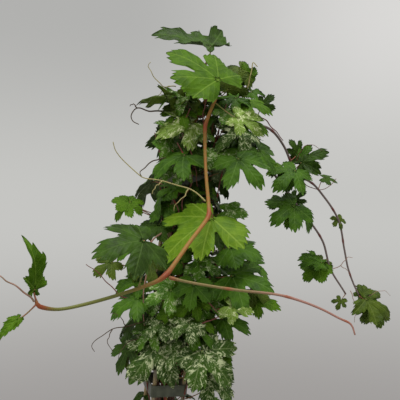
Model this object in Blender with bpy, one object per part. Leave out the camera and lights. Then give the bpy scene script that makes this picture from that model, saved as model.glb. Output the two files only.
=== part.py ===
"""A potted variegated porcelain vine on a small cane rack.

Metres, +Z up. The origin is the middle of the pot's base. Lengths are written in millimetres and
turned into metres when a mesh is made. Everything that grows is measured from the crown, which is
the middle of the soil surface; the front of the plant is -Y.
"""

import math

import bmesh
import bpy
import numpy as np

MM = 0.001

# ---- driving dimensions (mm and degrees) ----
GAP = 0.3                  # clearance left between pieces that touch

POT_HEIGHT = 132.0
POT_RIM_RADIUS = 76.0
POT_BASE_RADIUS = 54.0
POT_WALL = 1.8
POT_RIM_HEIGHT = 16.0
POT_RIM_OVERHANG = 2.6
POT_SEGMENTS = 40
DRAIN_HOLES = 6
DRAIN_RADIUS = 4.0
DRAIN_CIRCLE = 34.0

SOIL_SPACE = 16.0          # from the soil up to the rim, left free for watering
SOIL_DOME = 1.5

RACK_LEAN = 5.6            # the rack leans to +X
RACK_TURN = 19.0           # and is turned on its own axis
RACK_SIDE = 38.0           # inside width of the square bands
CANE_RADIUS = 2.3
CANE_HEIGHT = 338.0
CANE_DEPTH = 62.0
BAND_HEIGHT = 12.5
BAND_THICKNESS = 1.2
BAND_LOWER_LEVEL = 77.0    # middle of the lower band above the soil
BAND_UPPER_DROP = 36.0     # from the cane tops down to the middle of the upper band

VINE_RING = 9.5            # how far the vines climb from the rack's axis
VINE_RADIUS = 1.9
VINE_DEPTH = 24.0
VINE_STEP = 12.0           # spacing of the rings along a stem
VINE_SIDES = 6
WEAVE = 22.0               # the climbing vines swing together by this angle
WEAVE_PITCH = 170.0

LEAF_THICKNESS = 0.8
STALK_WIDTH = 1.7

BLACK_PLASTIC = ((0.035, 0.036, 0.038), 0.45)
POTTING_SOIL = ((0.045, 0.030, 0.020), 0.95)
CANE = ((0.36, 0.29, 0.17), 0.6)
GREY_PLASTIC = ((0.10, 0.11, 0.075), 0.4)
OLD_STEM = ((0.16, 0.07, 0.05), 0.6)
YOUNG_STEM = ((0.45, 0.26, 0.10), 0.5)
YOUNG_LEAF = ((0.16, 0.28, 0.03), 0.45)
DARK_LEAF = ((0.05, 0.12, 0.02), 0.42)
MARBLED_LEAF = ((0.20, 0.27, 0.14), 0.45)


def material(name, look):
    """One Principled material with a linear colour and a roughness."""
    colour, roughness = look
    made = bpy.data.materials.get(name)
    if made is None:
        made = bpy.data.materials.new(name)
        made.use_nodes = True
        shader = made.node_tree.nodes["Principled BSDF"]
        shader.inputs["Base Color"].default_value = (*colour, 1.0)
        shader.inputs["Roughness"].default_value = roughness
        shader.inputs["Metallic"].default_value = 0.0
    return made


def add(name, points, faces, look_name, look, level=0.0):
    """A new object from points in mm, standing `level` mm above the pot's base."""
    mesh = bpy.data.meshes.new(name)
    mesh.from_pydata([tuple(p) for p in np.asarray(points) * MM], [], faces)
    mesh.materials.append(material(look_name, look))
    mesh.update()
    made = bpy.data.objects.new(name, mesh)
    made.location = (0.0, 0.0, level * MM)
    bpy.context.scene.collection.objects.link(made)
    return made


def smooth_shading(made):
    made.data.shade_smooth()
    made.data.set_sharp_from_angle(angle=math.radians(40.0))


def as_cutter(made):
    made.hide_render = True
    made.display_type = "WIRE"


def cut(target, cutter):
    """Take the cutter away from the target with an exact Boolean."""
    as_cutter(cutter)
    boolean = target.modifiers.new("cut", "BOOLEAN")
    boolean.operation = "DIFFERENCE"
    boolean.solver = "EXACT"
    boolean.object = cutter


def turned(name, profile, segments, look_name, look, level=0.0):
    """A closed body of revolution; the profile is (radius, height) and starts and ends on the axis."""
    ring = [p for p in profile if p[0] > 0.0]
    angles = np.arange(segments) * 2.0 * math.pi / segments
    points = [(0.0, 0.0, profile[0][1])]
    for radius, height in ring:
        points += [(radius * math.cos(a), radius * math.sin(a), height) for a in angles]
    points.append((0.0, 0.0, profile[-1][1]))
    last = len(points) - 1
    faces = []
    for i in range(segments):
        j = (i + 1) % segments
        faces.append((0, 1 + j, 1 + i))
        for k in range(len(ring) - 1):
            low = 1 + k * segments
            high = low + segments
            faces.append((low + i, low + j, high + j, high + i))
        top = 1 + (len(ring) - 1) * segments
        faces.append((last, top + i, top + j))
    return add(name, points, faces, look_name, look, level)


def tube_mesh(centres, radii, sides):
    """Points and faces of a closed round tube: rings carried along the line without twisting."""
    centres = np.asarray(centres, dtype=float)
    tangents = np.gradient(centres, axis=0)
    tangents /= np.linalg.norm(tangents, axis=1)[:, None]
    across = np.cross(tangents[0], (0.31, 0.87, 0.38))
    across /= np.linalg.norm(across)
    points = []
    for centre, tangent, radius in zip(centres, tangents, radii):
        across = across - tangent * np.dot(across, tangent)
        across /= np.linalg.norm(across)
        other = np.cross(tangent, across)
        for i in range(sides):
            a = 2.0 * math.pi * i / sides
            points.append(centre + radius * (across * math.cos(a) + other * math.sin(a)))
    faces = [tuple(range(sides))[::-1]]
    for k in range(len(centres) - 1):
        for i in range(sides):
            j = (i + 1) % sides
            low = k * sides
            high = low + sides
            faces.append((low + i, low + j, high + j, high + i))
    faces.append(tuple(range(len(points) - sides, len(points))))
    return points, faces


def joined(parts):
    """Several closed shapes, clear of each other, as one list of points and faces."""
    points = []
    faces = []
    for part_points, part_faces in parts:
        start = len(points)
        points += list(part_points)
        faces += [tuple(start + i for i in face) for face in part_faces]
    return points, faces


def smooth_line(knots, step):
    """A Catmull-Rom curve through the knots, sampled about every `step` mm; columns may follow x, y, z."""
    knots = np.asarray(knots, dtype=float)
    padded = np.vstack([2 * knots[0] - knots[1], knots, 2 * knots[-1] - knots[-2]])
    line = []
    for a, b, c, d in zip(padded, padded[1:], padded[2:], padded[3:]):
        count = max(1, round(np.linalg.norm((c - b)[:3]) / step))
        t = (np.arange(count) / count)[:, None]
        line.append(0.5 * (2 * b + (c - a) * t + (2 * a - 5 * b + 4 * c - d) * t**2
                           + (3 * b - a - 3 * c + d) * t**3))
    line.append(knots[-1:])
    return np.vstack(line)


for old in list(bpy.data.objects):
    bpy.data.objects.remove(old, do_unlink=True)

# ---- pot ----
soil_level = POT_HEIGHT - SOIL_SPACE


def pot_radius(height):
    """Outer radius of the tapered pot wall at a height above its base."""
    return POT_BASE_RADIUS + (POT_RIM_RADIUS - POT_RIM_OVERHANG - POT_BASE_RADIUS) * height / POT_HEIGHT


pot = turned("pot", [
    (0.0, 0.0),
    (POT_BASE_RADIUS, 0.0),
    (pot_radius(POT_HEIGHT - POT_RIM_HEIGHT), POT_HEIGHT - POT_RIM_HEIGHT),
    (POT_RIM_RADIUS - 0.6, POT_HEIGHT - POT_RIM_HEIGHT),
    (POT_RIM_RADIUS, POT_HEIGHT - 1.0),
    (POT_RIM_RADIUS - 1.0, POT_HEIGHT),
    (pot_radius(POT_HEIGHT) - POT_WALL, POT_HEIGHT),
    (pot_radius(POT_WALL) - POT_WALL, POT_WALL),
    (0.0, POT_WALL),
], POT_SEGMENTS, "black_plastic", BLACK_PLASTIC)
smooth_shading(pot)

drain_parts = []
for i in range(DRAIN_HOLES):
    a = 2.0 * math.pi * (i + 0.5) / DRAIN_HOLES
    x = DRAIN_CIRCLE * math.cos(a)
    y = DRAIN_CIRCLE * math.sin(a)
    drain_parts.append(tube_mesh([(x, y, -5.0), (x, y, POT_WALL + 5.0)], [DRAIN_RADIUS] * 2, 10))
drain_cutter = add("drain_cutter", *joined(drain_parts), "black_plastic", BLACK_PLASTIC)
cut(pot, drain_cutter)


# ---- cane rack: four canes in the corners of two square bands ----
rack = bpy.data.objects.new("rack", None)
bpy.context.scene.collection.objects.link(rack)
rack.rotation_mode = "ZYX"
rack.rotation_euler = (0.0, math.radians(RACK_LEAN), math.radians(RACK_TURN))
rack.location = (0.0, 0.0, soil_level * MM)
cane_offset = RACK_SIDE / 2 - GAP - CANE_RADIUS
cane_corners = {
    "front_left": (-cane_offset, -cane_offset),
    "front_right": (cane_offset, -cane_offset),
    "back_right": (cane_offset, cane_offset),
    "back_left": (-cane_offset, cane_offset),
}
cane_cutters = []
for corner, (x, y) in cane_corners.items():
    ends = [(x, y, -CANE_DEPTH), (x, y, CANE_HEIGHT)]
    cane = add(f"cane_{corner}", *tube_mesh(ends, [CANE_RADIUS] * 2, 10), "cane", CANE)
    smooth_shading(cane)
    cane.parent = rack
    hole_ends = [(x, y, -CANE_DEPTH - GAP), (x, y, 20.0)]
    cane_cutters.append(tube_mesh(hole_ends, [CANE_RADIUS + GAP] * 2, 10))


def rounded_square(half, radius):
    """Corner arcs of a rounded square, anticlockwise."""
    outline = []
    for quarter in range(4):
        middle = math.radians(45.0 + 90.0 * quarter)
        centre_x = math.copysign(half - radius, math.cos(middle))
        centre_y = math.copysign(half - radius, math.sin(middle))
        for k in range(4):
            a = math.radians(90.0 * quarter + 30.0 * k)
            outline.append((centre_x + radius * math.cos(a), centre_y + radius * math.sin(a)))
    return outline


for level_name, level in (("lower", BAND_LOWER_LEVEL), ("upper", CANE_HEIGHT - BAND_UPPER_DROP)):
    inner = rounded_square(RACK_SIDE / 2, CANE_RADIUS + GAP)
    outer = rounded_square(RACK_SIDE / 2 + BAND_THICKNESS, CANE_RADIUS + GAP + BAND_THICKNESS)
    low = level - BAND_HEIGHT / 2
    high = level + BAND_HEIGHT / 2
    n = len(inner)
    ring_points = [(x, y, z) for outline, z in ((outer, low), (outer, high), (inner, high), (inner, low))
                   for x, y in outline]
    ring_faces = []
    for k in range(4):
        for i in range(n):
            j = (i + 1) % n
            here = k * n
            there = ((k + 1) % 4) * n
            ring_faces.append((here + i, here + j, there + j, there + i))
    band = add(f"band_{level_name}", ring_points, ring_faces, "grey_plastic", GREY_PLASTIC)
    band.parent = rack


# ---- vines: each climbs inside the rack and then goes its own way ----
def climb(angle, top, radius=VINE_RADIUS):
    """Knots (x, y, z, radius) of a vine climbing inside the rack from below the soil up to `top`."""
    knots = []
    for z in np.append(np.arange(-VINE_DEPTH, top - 15.0, 24.0), top):
        a = math.radians(angle + WEAVE * math.sin(2.0 * math.pi * z / WEAVE_PITCH))
        x = z * math.tan(math.radians(RACK_LEAN)) + VINE_RING * math.cos(a)
        y = VINE_RING * math.sin(a)
        knots.append((x, y, z, radius))
    return knots


VINES = {
    # Climbs, arches over the top, hangs down in front and runs out to the left.
    "vine_runner": climb(270, 350) + [
        (47, -12, 376, 1.7), (56, -22, 394, 1.6), (62, -38, 398, 1.6), (63, -50, 389, 1.6),
        (61, -54, 378, 1.6), (57, -51, 369, 1.6), (52, -48, 356, 2.0), (51, -49, 349, 2.0),
        (51, -58, 326, 1.6), (52, -68, 301, 1.6), (54, -78, 276, 1.8), (54, -85, 265, 2.3),
        (49, -94, 257, 1.9), (36, -113, 241, 1.8), (24, -132, 225, 1.9), (18, -140, 218, 2.4),
        (9, -146, 213, 1.7), (-15, -163, 207, 1.4), (-39, -181, 203, 1.3), (-54, -191, 202, 1.2),
        (-64, -200, 206, 1.6), (-66, -201, 210, 1.0),
    ],
    # Climbs to the very top and ends under the top leaf.
    "vine_top": climb(200, 355) + [(35, -6, 385, 1.6), (46, -10, 410, 1.5), (52, -16, 424, 1.3)],
    # Climbs and hangs far out to the right, behind the middle of the plant.
    "vine_far_long": climb(340, 330) + [
        (66, 4, 346, 1.7), (88, 12, 358, 1.6), (109, 20, 363, 1.5), (127, 30, 361, 1.5),
        (145, 45, 345, 1.4), (164, 60, 312, 1.4), (191, 72, 295, 1.3), (221, 85, 256, 1.3),
        (233, 95, 215, 1.2), (239, 98, 189, 1.2), (248, 102, 166, 1.1), (255, 104, 153, 0.9),
    ],
    "vine_far_short": climb(35, 305) + [
        (68, 16, 322, 1.7), (94, 24, 330, 1.6), (118, 32, 325, 1.5), (148, 52, 292, 1.4),
        (178, 72, 258, 1.3), (202, 83, 226, 1.3), (214, 90, 189, 1.2), (236, 100, 156, 1.1),
    ],
    # Climbs at the back and leans over there.
    "vine_back": climb(100, 350) + [(44, 22, 375, 1.6), (50, 38, 388, 1.4), (56, 52, 386, 1.1)],
    # A tendril shoot from the thick node of the runner, out to the right.
    "runner_tendril": [
        (21.2, -140.4, 216.2, 1.4), (32, -143, 214, 1.2), (46, -147, 212, 1.1), (78, -155, 208, 1.1),
        (104, -160, 206, 1.0), (119, -163, 203, 1.0), (135, -168, 198, 0.9), (149, -172, 191, 0.8),
        (157, -175, 187, 0.7), (159, -178, 180, 0.6),
    ],
}

YOUNG_VINES = ("vine_runner", "runner_tendril")
vine_lines = {}
for vine_name, knots in VINES.items():
    line = smooth_line(knots, VINE_STEP)
    vine_lines[vine_name] = line
    look_name = "young_stem" if vine_name in YOUNG_VINES else "old_stem"
    look = YOUNG_STEM if vine_name in YOUNG_VINES else OLD_STEM
    tube = tube_mesh(line[:, :3], line[:, 3], VINE_SIDES)
    smooth_shading(add(vine_name, *tube, look_name, look, soil_level))

# ---- soil, shaped by the pot, with a hole for each cane and vine ----
soil_bottom = POT_WALL + GAP
soil_radius_low = pot_radius(soil_bottom) - POT_WALL - GAP
soil_edge = soil_level - SOIL_DOME
soil_radius_high = pot_radius(soil_edge) - POT_WALL - GAP
soil = turned("soil", [
    (0.0, soil_bottom - soil_level),
    (soil_radius_low, soil_bottom - soil_level),
    (soil_radius_high, -SOIL_DOME),
    (soil_radius_high * 0.8, -SOIL_DOME * 0.4),
    (soil_radius_high * 0.45, 0.0),
    (0.0, 0.0),
], POT_SEGMENTS, "potting_soil", POTTING_SOIL, soil_level)

vine_cutters = []
for vine_name, line in vine_lines.items():
    if line[0, 2] < 0.0:
        bottom = line[0, :3] - (0.0, 0.0, GAP)
        hole = np.vstack([bottom, line[1:4, :3]])
        vine_cutters.append(tube_mesh(hole, [line[0, 3] + 3 * GAP] * len(hole), 8))
cut(soil, add("vine_holes", *joined(vine_cutters), "potting_soil", POTTING_SOIL, soil_level))
cane_holes = add("cane_holes", *joined(cane_cutters), "potting_soil", POTTING_SOIL)
cane_holes.parent = rack
cut(soil, cane_holes)

# ---- leaves: one thin plate each, blade and stalk together ----
# Half of a blade 1 long from the stalk (0, 0) to the tip (0, 1): the midrib, then the lobed edge.
MIDRIB = (0.0, 0.22, 0.45, 0.72)
EDGE = (
    (0.09, -0.13), (0.36, -0.31), (0.54, -0.20), (0.52, 0.03), (0.33, 0.07), (0.60, 0.18),
    (0.68, 0.42), (0.45, 0.53), (0.22, 0.42), (0.36, 0.64), (0.15, 0.88),
)
FOLD = 0.16      # rise of the two halves from the midrib
ARCH = 0.45      # rise of the midrib between its ends
DROOP = 0.55     # fall of the side lobes


def unit(v):
    return np.asarray(v, dtype=float) / np.linalg.norm(v)


def leaf(name, vine, junction, tip, face, look_name, look, rise=14.0, width=1.0):
    """A blade from its junction to its tip, facing `face`, on a stalk from the nearest part of the vine."""
    junction = np.asarray(junction, dtype=float)
    along = np.asarray(tip, dtype=float) - junction
    size = np.linalg.norm(along)
    along = along / size
    normal = unit(np.asarray(face, dtype=float) - along * np.dot(face, along))
    side = np.cross(along, normal)

    def blade(x, y):
        height = FOLD * abs(x) + ARCH * y * (1.0 - y) - DROOP * x * x
        return junction + size * (x * width * side + y * along + height * normal)

    line = vine_lines[vine]
    aim = junction - (0.0, 0.0, rise)
    nearest = line[np.argmin(np.linalg.norm(line[:, :3] - aim, axis=1))]
    foot = nearest[:3] + unit(junction - nearest[:3]) * (nearest[3] + GAP + STALK_WIDTH / 2)
    reach = np.linalg.norm(junction - foot)
    bend = junction - (normal * 0.25 + along * 0.15) * reach
    steps = max(3, round(reach / 12.0))
    stalk = []
    for k in range(steps):
        t = k / steps
        stalk.append((1 - t) ** 2 * foot + 2 * t * (1 - t) * bend + t * t * junction)
    turn = np.cross(junction - foot, normal)
    if np.linalg.norm(turn) < 0.3 * reach:
        turn = side
    turn = unit(turn) * math.copysign(1.0, np.dot(turn, side) or 1.0)

    points = [blade(0.0, y) for y in MIDRIB] + [blade(0.0, 1.0)]
    tip_index = len(MIDRIB)
    right = []
    left = []
    base = ((STALK_WIDTH / 2 / size / width, -0.02),)
    for x, y in base + EDGE:
        right.append(len(points))
        points.append(blade(x, y))
        left.append(len(points))
        points.append(blade(-x, y))
    midrib = list(range(len(MIDRIB)))
    faces = [midrib + [tip_index] + right[::-1], [tip_index] + midrib[::-1] + left]
    rungs = []
    for place in stalk:
        rungs.append((len(points), len(points) + 1))
        points.append(place + turn * STALK_WIDTH / 2)
        points.append(place - turn * STALK_WIDTH / 2)
    for (a, b), (c, d) in zip(rungs, rungs[1:]):
        faces.append([a, c, d, b])
    faces.append([rungs[-1][0], right[0], 0, left[0], rungs[-1][1]])
    made = add(name, points, faces, look_name, look, soil_level)
    shape = bmesh.new()
    shape.from_mesh(made.data)
    bmesh.ops.triangulate(shape, faces=shape.faces[:])
    bmesh.ops.recalc_face_normals(shape, faces=shape.faces[:])
    shape.to_mesh(made.data)
    shape.free()
    plate = made.modifiers.new("plate", "SOLIDIFY")
    plate.thickness = LEAF_THICKNESS * MM
    plate.offset = 0.0
    return made


FRONT = (0.0, -1.0, 0.3)
FRONT_UP = (0.0, -0.8, 0.6)
LEFT = (-0.9, -0.5, 0.3)
LEFT_UP = (-0.5, -0.7, 0.5)
RIGHT = (0.8, -0.6, 0.3)
RIGHT_UP = (0.5, -0.7, 0.5)
UP = (0.1, -0.55, 0.83)
RACK_FRONT = -RACK_SIDE / 2

# name: vine it grows on, where stalk meets blade, tip, the way its upper side faces, kind, rise of the stalk
LEAVES = {
    "leaf_top": ("vine_top", (57, -16, 443), (-6, -20, 456), UP, "dark", 16),
    "leaf_crown_bright": ("vine_runner", (64, -64, 395), (12, -60, 421), (0.27, -0.75, 0.6), "young", 8),
    "leaf_front_middle": ("vine_runner", (57, -72, 262), (9, -82, 223), (-0.35, -0.75, 0.55), "young", -6),
    "leaf_near_dark": ("vine_runner", (3, -162, 248), (-32, -182, 239), FRONT_UP, "dark", 30),
    "leaf_young_right": ("vine_runner", (83, -62, 359), (108, -72, 340), FRONT, "young", -6),
    "leaf_glossy": ("vine_far_long", (84, -52, 320), (106, -62, 287), FRONT_UP, "dark", 14),
    "leaf_left_marbled": ("vine_runner", (38, -32, 359), (3, -46, 342), FRONT, "marbled", 20),
    "leaf_left_dark": ("vine_top", (30, -47, 324), (0, -57, 300), LEFT_UP, "dark", 14),
    "leaf_left_wrinkled": ("vine_top", (30, -32, 386), (2, -44, 373), FRONT_UP, "marbled", 10),
    "leaf_left_smooth": ("vine_top", (8, -30, 288), (2, -38, 264), LEFT, "dark", 14),
    "leaf_round_marbled": ("vine_runner", (72, -32, 268), (95, -38, 264), FRONT_UP, "marbled", 14),
    "leaf_small_bright": ("vine_top", (-28, -42, 273), (-39, -48, 257), LEFT_UP, "young", 20),
    "leaf_right_high": ("vine_runner", (76, -46, 231), (108, -56, 221), RIGHT_UP, "dark", 14),
    "leaf_right_middle": ("vine_runner", (78, -48, 203), (121, -58, 190), RIGHT_UP, "dark", 14),
    "leaf_right_orange": ("vine_far_short", (102, -38, 177), (127, -44, 169), FRONT_UP, "young", 14),
    "leaf_right_low": ("vine_runner", (69, -36, 157), (99, -42, 146), RIGHT_UP, "dark", 10),
    "leaf_right_pale": ("vine_far_long", (75, -66, 177), (97, -70, 170), FRONT_UP, "young", 22),
    "leaf_left_mottled": ("vine_runner", (17, -54, 190), (-8, -64, 176), FRONT_UP, "marbled", 16),
    "leaf_middle_green": ("vine_runner", (40, -58, 196), (34, -68, 170), FRONT_UP, "dark", 16),
    "leaf_left_pointed": ("vine_top", (-17, -44, 180), (-44, -54, 161), LEFT_UP, "dark", 14),
    "leaf_cream_left": ("vine_runner", (6, RACK_FRONT - 25, 135), (-22, RACK_FRONT - 39, 97), FRONT_UP,
                        "marbled", 16),
    "leaf_cream_right": ("vine_runner", (48, -64, 133), (78, -76, 101), FRONT_UP, "marbled", 34),
    "leaf_cream_low": ("vine_runner", (56, -34, 97), (80, -46, 74), RIGHT_UP, "marbled", 12),
    "leaf_cream_curl": ("vine_runner", (36, -62, 160), (15, -68, 143), UP, "marbled", 18),
    "leaf_hanging_olive": ("vine_top", (-22, -34, 131), (-28, -42, 102), LEFT, "dark", 14),
    "leaf_top_right": ("vine_back", (77, -2, 400), (97, -8, 417), RIGHT_UP, "young", 14),
    "leaf_right_green": ("vine_far_long", (94, -16, 384), (122, -24, 368), RIGHT_UP, "dark", 14),
    "leaf_right_mass": ("vine_far_long", (90, -34, 350), (62, -46, 331), FRONT_UP, "marbled", 10),
    "leaf_far_high": ("vine_far_long", (168, 52, 324), (200, 46, 337), FRONT_UP, "dark", 6),
    "leaf_far_olive": ("vine_far_short", (156, 28, 313), (130, 18, 288), FRONT_UP, "dark", 24),
    "leaf_far_middle": ("vine_far_short", (156, 35, 272), (124, 27, 248), FRONT_UP, "dark", 0),
    "leaf_far_hanging": ("vine_far_short", (170, 62, 268), (181, 58, 238), RIGHT_UP, "dark", 0),
    "leaf_far_low": ("vine_far_short", (199, 78, 200), (171, 72, 199), FRONT_UP, "dark", 0),
    "leaf_far_end": ("vine_far_long", (262, 98, 150), (297, 104, 126), RIGHT_UP, "young", 4),
    "leaf_runner_tip": ("vine_runner", (-67, -201, 218), (-71, -203, 257), RIGHT, "young", 4),
    "leaf_runner_low": ("vine_runner", (-75, -208, 200), (-87, -215, 186), FRONT_UP, "young", 0),
}

LEAF_LOOKS = {
    "young": ("young_leaf", YOUNG_LEAF),
    "dark": ("dark_leaf", DARK_LEAF),
    "marbled": ("marbled_leaf", MARBLED_LEAF),
}
NARROW = {"leaf_runner_tip": 0.4, "leaf_hanging_olive": 0.6}

for leaf_name, (vine, junction, tip, face, kind, rise) in LEAVES.items():
    leaf(leaf_name, vine, junction, tip, face, *LEAF_LOOKS[kind], rise, NARROW.get(leaf_name, 1.0))

# The back of the plant: leaves in a rising spiral, each hanging outward from its stalk.
BACK_LEAVES = 10
BACK_LOWEST = 90.0
BACK_STEP = 30.0
BACK_SWING = (35.0, 95.0, 150.0, 82.0, 120.0)
BACK_REACH = 44.0
BACK_SIZE = 44.0
for i in range(BACK_LEAVES):
    a = math.radians(BACK_SWING[i % len(BACK_SWING)])
    outward = np.array((math.cos(a), math.sin(a), 0.0))
    z = BACK_LOWEST + BACK_STEP * i
    centre = np.array((z * math.tan(math.radians(RACK_LEAN)), 0.0, z))
    junction = centre + outward * BACK_REACH
    tip = junction + BACK_SIZE * unit(outward * 0.45 + (0.0, 0.0, -0.9))
    kind = "marbled" if i % 3 == 1 else "dark"
    vine = "vine_far_short" if a < math.radians(50.0) else "vine_back"
    leaf(f"leaf_back_{i + 1:02d}", vine, junction, tip, outward + (0.0, 0.0, 0.5), *LEAF_LOOKS[kind])
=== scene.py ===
"""The looks of a potted variegated porcelain vine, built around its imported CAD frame."""

import math
import bpy
import numpy as np
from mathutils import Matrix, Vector


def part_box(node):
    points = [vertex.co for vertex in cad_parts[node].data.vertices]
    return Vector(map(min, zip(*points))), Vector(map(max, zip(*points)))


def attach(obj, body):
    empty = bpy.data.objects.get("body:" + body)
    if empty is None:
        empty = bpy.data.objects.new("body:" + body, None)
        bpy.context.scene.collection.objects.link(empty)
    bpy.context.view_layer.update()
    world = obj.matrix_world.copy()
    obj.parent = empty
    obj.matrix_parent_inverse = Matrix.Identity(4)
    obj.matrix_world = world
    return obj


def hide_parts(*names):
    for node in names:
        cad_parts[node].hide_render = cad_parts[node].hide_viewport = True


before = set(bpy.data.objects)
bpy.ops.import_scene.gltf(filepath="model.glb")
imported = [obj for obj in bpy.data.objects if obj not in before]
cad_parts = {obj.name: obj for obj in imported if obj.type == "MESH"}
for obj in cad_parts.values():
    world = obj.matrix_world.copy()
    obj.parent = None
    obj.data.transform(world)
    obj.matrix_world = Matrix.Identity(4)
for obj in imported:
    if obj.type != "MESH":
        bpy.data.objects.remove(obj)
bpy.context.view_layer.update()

# ---- pot ----
# A 15 cm nursery pot, blow-moulded from black recycled polypropylene: a thin tapered wall with shallow
# upright ribs, a stepped rim to lift it by, and six drainage holes. It is scuffed and dusty from the bench.
MM = 0.001
POT_RIBS = 40
POT_WALL = 1.8
POT_TURNS = 240


def linear(colour):
    """An sRGB hex colour as linear RGB with alpha 1."""
    parts = np.array([int(colour[i:i + 2], 16) for i in (1, 3, 5)]) / 255.0
    parts = np.where(parts <= 0.04045, parts / 12.92, ((parts + 0.055) / 1.055) ** 2.4)
    return (*parts.tolist(), 1.0)


def new_material(name, roughness, ior=1.5, **sockets):
    """A material with one Principled shader; returns it, its tree and the shader."""
    material = bpy.data.materials.new(name)
    material.use_nodes = True
    shader = material.node_tree.nodes["Principled BSDF"]
    shader.inputs["Roughness"].default_value = roughness
    shader.inputs["IOR"].default_value = ior
    for socket, value in sockets.items():
        shader.inputs[socket.replace("_", " ")].default_value = value
    return material, material.node_tree, shader


def node(tree, kind, links, out=0, **settings):
    """Add a shader node and return its output `out`. `links` gives inputs, by name or number, a value, an
    sRGB hex colour or another node's output; `settings` are the node's own properties."""
    made = tree.nodes.new("ShaderNode" + kind)
    for key, value in settings.items():
        setattr(made, key, value)
    for place, value in links.items():
        if isinstance(value, bpy.types.NodeSocket):
            tree.links.new(value, made.inputs[place])
        else:
            made.inputs[place].default_value = linear(value) if isinstance(value, str) else value
    return made.outputs[out]


SMOOTH = {"interpolation_type": "SMOOTHSTEP"}
COLOUR = {"data_type": "RGBA"}


def add_piece(name, points, faces, materials, smooth=True):
    """A new object at the origin from points in metres; faces are quads or triangles in one list."""
    mesh = bpy.data.meshes.new(name)
    mesh.from_pydata(np.asarray(points).tolist(), [], [list(map(int, face)) for face in faces])
    for material in materials:
        mesh.materials.append(material)
    if smooth:
        mesh.shade_smooth()
    mesh.update()
    made = bpy.data.objects.new(name, mesh)
    bpy.context.scene.collection.objects.link(made)
    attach(made, "root")
    return made


def grid_faces(rows, columns, start=0, wrap=True):
    """Quads of a rows x columns grid of points, wrapping round in the column direction."""
    i, j = np.meshgrid(np.arange(rows - 1), np.arange(columns if wrap else columns - 1), indexing="ij")
    k = (j + 1) % columns
    quads = np.stack([i * columns + j, i * columns + k, (i + 1) * columns + k, (i + 1) * columns + j], -1)
    return (quads.reshape(-1, 4) + start).tolist()


pot_high = np.array(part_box("pot")[1])
soil_high = np.array(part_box("soil")[1])
pot_height = pot_high[2] / MM
rim_radius = pot_high[0] / MM
soil_level = soil_high[2] / MM
base_radius = 54.0
rim_height = 16.0
wall_top_radius = rim_radius - 2.6


def pot_radius(height):
    """Outer radius of the tapered wall, in mm, at a height above its base."""
    return base_radius + (wall_top_radius - base_radius) * height / pot_height


# Profile round the wall, outside up and inside down: (radius, height, how much the ribs show).
rim_low = pot_height - rim_height
pot_profile = np.array([
    (8.0, 0.5, 0), (26.0, 0.5, 0), (base_radius - 9, 0.5, 0), (base_radius - 7.5, 0, 0),
    (base_radius - 2.0, 0, 0), (base_radius - 0.6, 0.5, 0), (base_radius, 2.2, 0),
    (pot_radius(6), 6, 1), (pot_radius(30), 30, 1), (pot_radius(60), 60, 1), (pot_radius(90), 90, 1),
    (pot_radius(rim_low - 9), rim_low - 9, 1), (pot_radius(rim_low - 3), rim_low - 3, 0),
    (pot_radius(rim_low), rim_low - 0.4, 0), (rim_radius - 2.0, rim_low, 0),
    (rim_radius - 0.9, rim_low + 0.6, 0), (rim_radius - 0.6, rim_low + 2, 0),
    (rim_radius - 0.3, pot_height - 4, 0), (rim_radius, pot_height - 2.6, 0),
    (rim_radius, pot_height - 1.0, 0), (rim_radius - 0.6, pot_height - 0.2, 0),
    (rim_radius - 1.6, pot_height, 0), (rim_radius - 2.9, pot_height - 0.3, 0),
    (rim_radius - 3.6, pot_height - 1.5, 0),
    (wall_top_radius - POT_WALL, pot_height - 7, 0), (pot_radius(rim_low) - POT_WALL, rim_low, 0),
    (pot_radius(60) - POT_WALL, 60, 0), (pot_radius(3) - POT_WALL, 3, 0), (base_radius - 6, POT_WALL, 0),
    (8.0, POT_WALL, 0),
])
turn = np.arange(POT_TURNS) * 2.0 * math.pi / POT_TURNS
ribs = 0.35 * np.cos(turn * POT_RIBS) ** 3
radius = pot_profile[:, :1] - 0.35 * pot_profile[:, 2:] + pot_profile[:, 2:] * ribs
pot_points = np.stack([radius * np.cos(turn), radius * np.sin(turn),
                       np.repeat(pot_profile[:, 1:2], POT_TURNS, 1)], -1).reshape(-1, 3)
pot_faces = grid_faces(len(pot_profile), POT_TURNS)
last_row = (len(pot_profile) - 1) * POT_TURNS
inner = np.arange(POT_TURNS)
pot_faces += np.stack([last_row + inner, last_row + (inner + 1) % POT_TURNS,
                       (inner + 1) % POT_TURNS, inner], -1).tolist()

# Moulded polypropylene: a dull sheen, dulled further by dust in cloudy patches and fine scuffs.
black_plastic, tree, shader = new_material("moulded_black_polypropylene", 0.42, 1.49)
place = node(tree, "TexCoord", {}, "Object")
clouds = node(tree, "TexNoise", {"Vector": place, "Scale": 45.0, "Detail": 6.0})
dust = node(tree, "MapRange", {0: clouds, 1: 0.42, 2: 0.75}, **SMOOTH)
thin_dust = node(tree, "Math", {0: dust, 1: 0.5}, operation="MULTIPLY")
tree.links.new(node(tree, "Mix", {0: thin_dust, 6: "#25272A", 7: "#4A4742"}, 2, **COLOUR),
               shader.inputs["Base Color"])
tree.links.new(node(tree, "Math", {0: dust, 1: 0.25, 2: 0.4}, operation="MULTIPLY_ADD"),
               shader.inputs["Roughness"])
grit = node(tree, "TexNoise", {"Vector": place, "Scale": 2500.0})
scratches = node(tree, "TexNoise", {"Vector": place, "Scale": 900.0, "Detail": 3.0, "Roughness": 0.7})
scuffs = node(tree, "MapRange", {0: scratches, 1: 0.55, 2: 0.8}, **SMOOTH)
surface = node(tree, "Math", {0: grit, 1: scuffs}, operation="ADD")
tree.links.new(node(tree, "Bump", {"Height": surface, "Strength": 0.5, "Distance": 0.05 * MM}, "Normal"),
               shader.inputs["Normal"])

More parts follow.
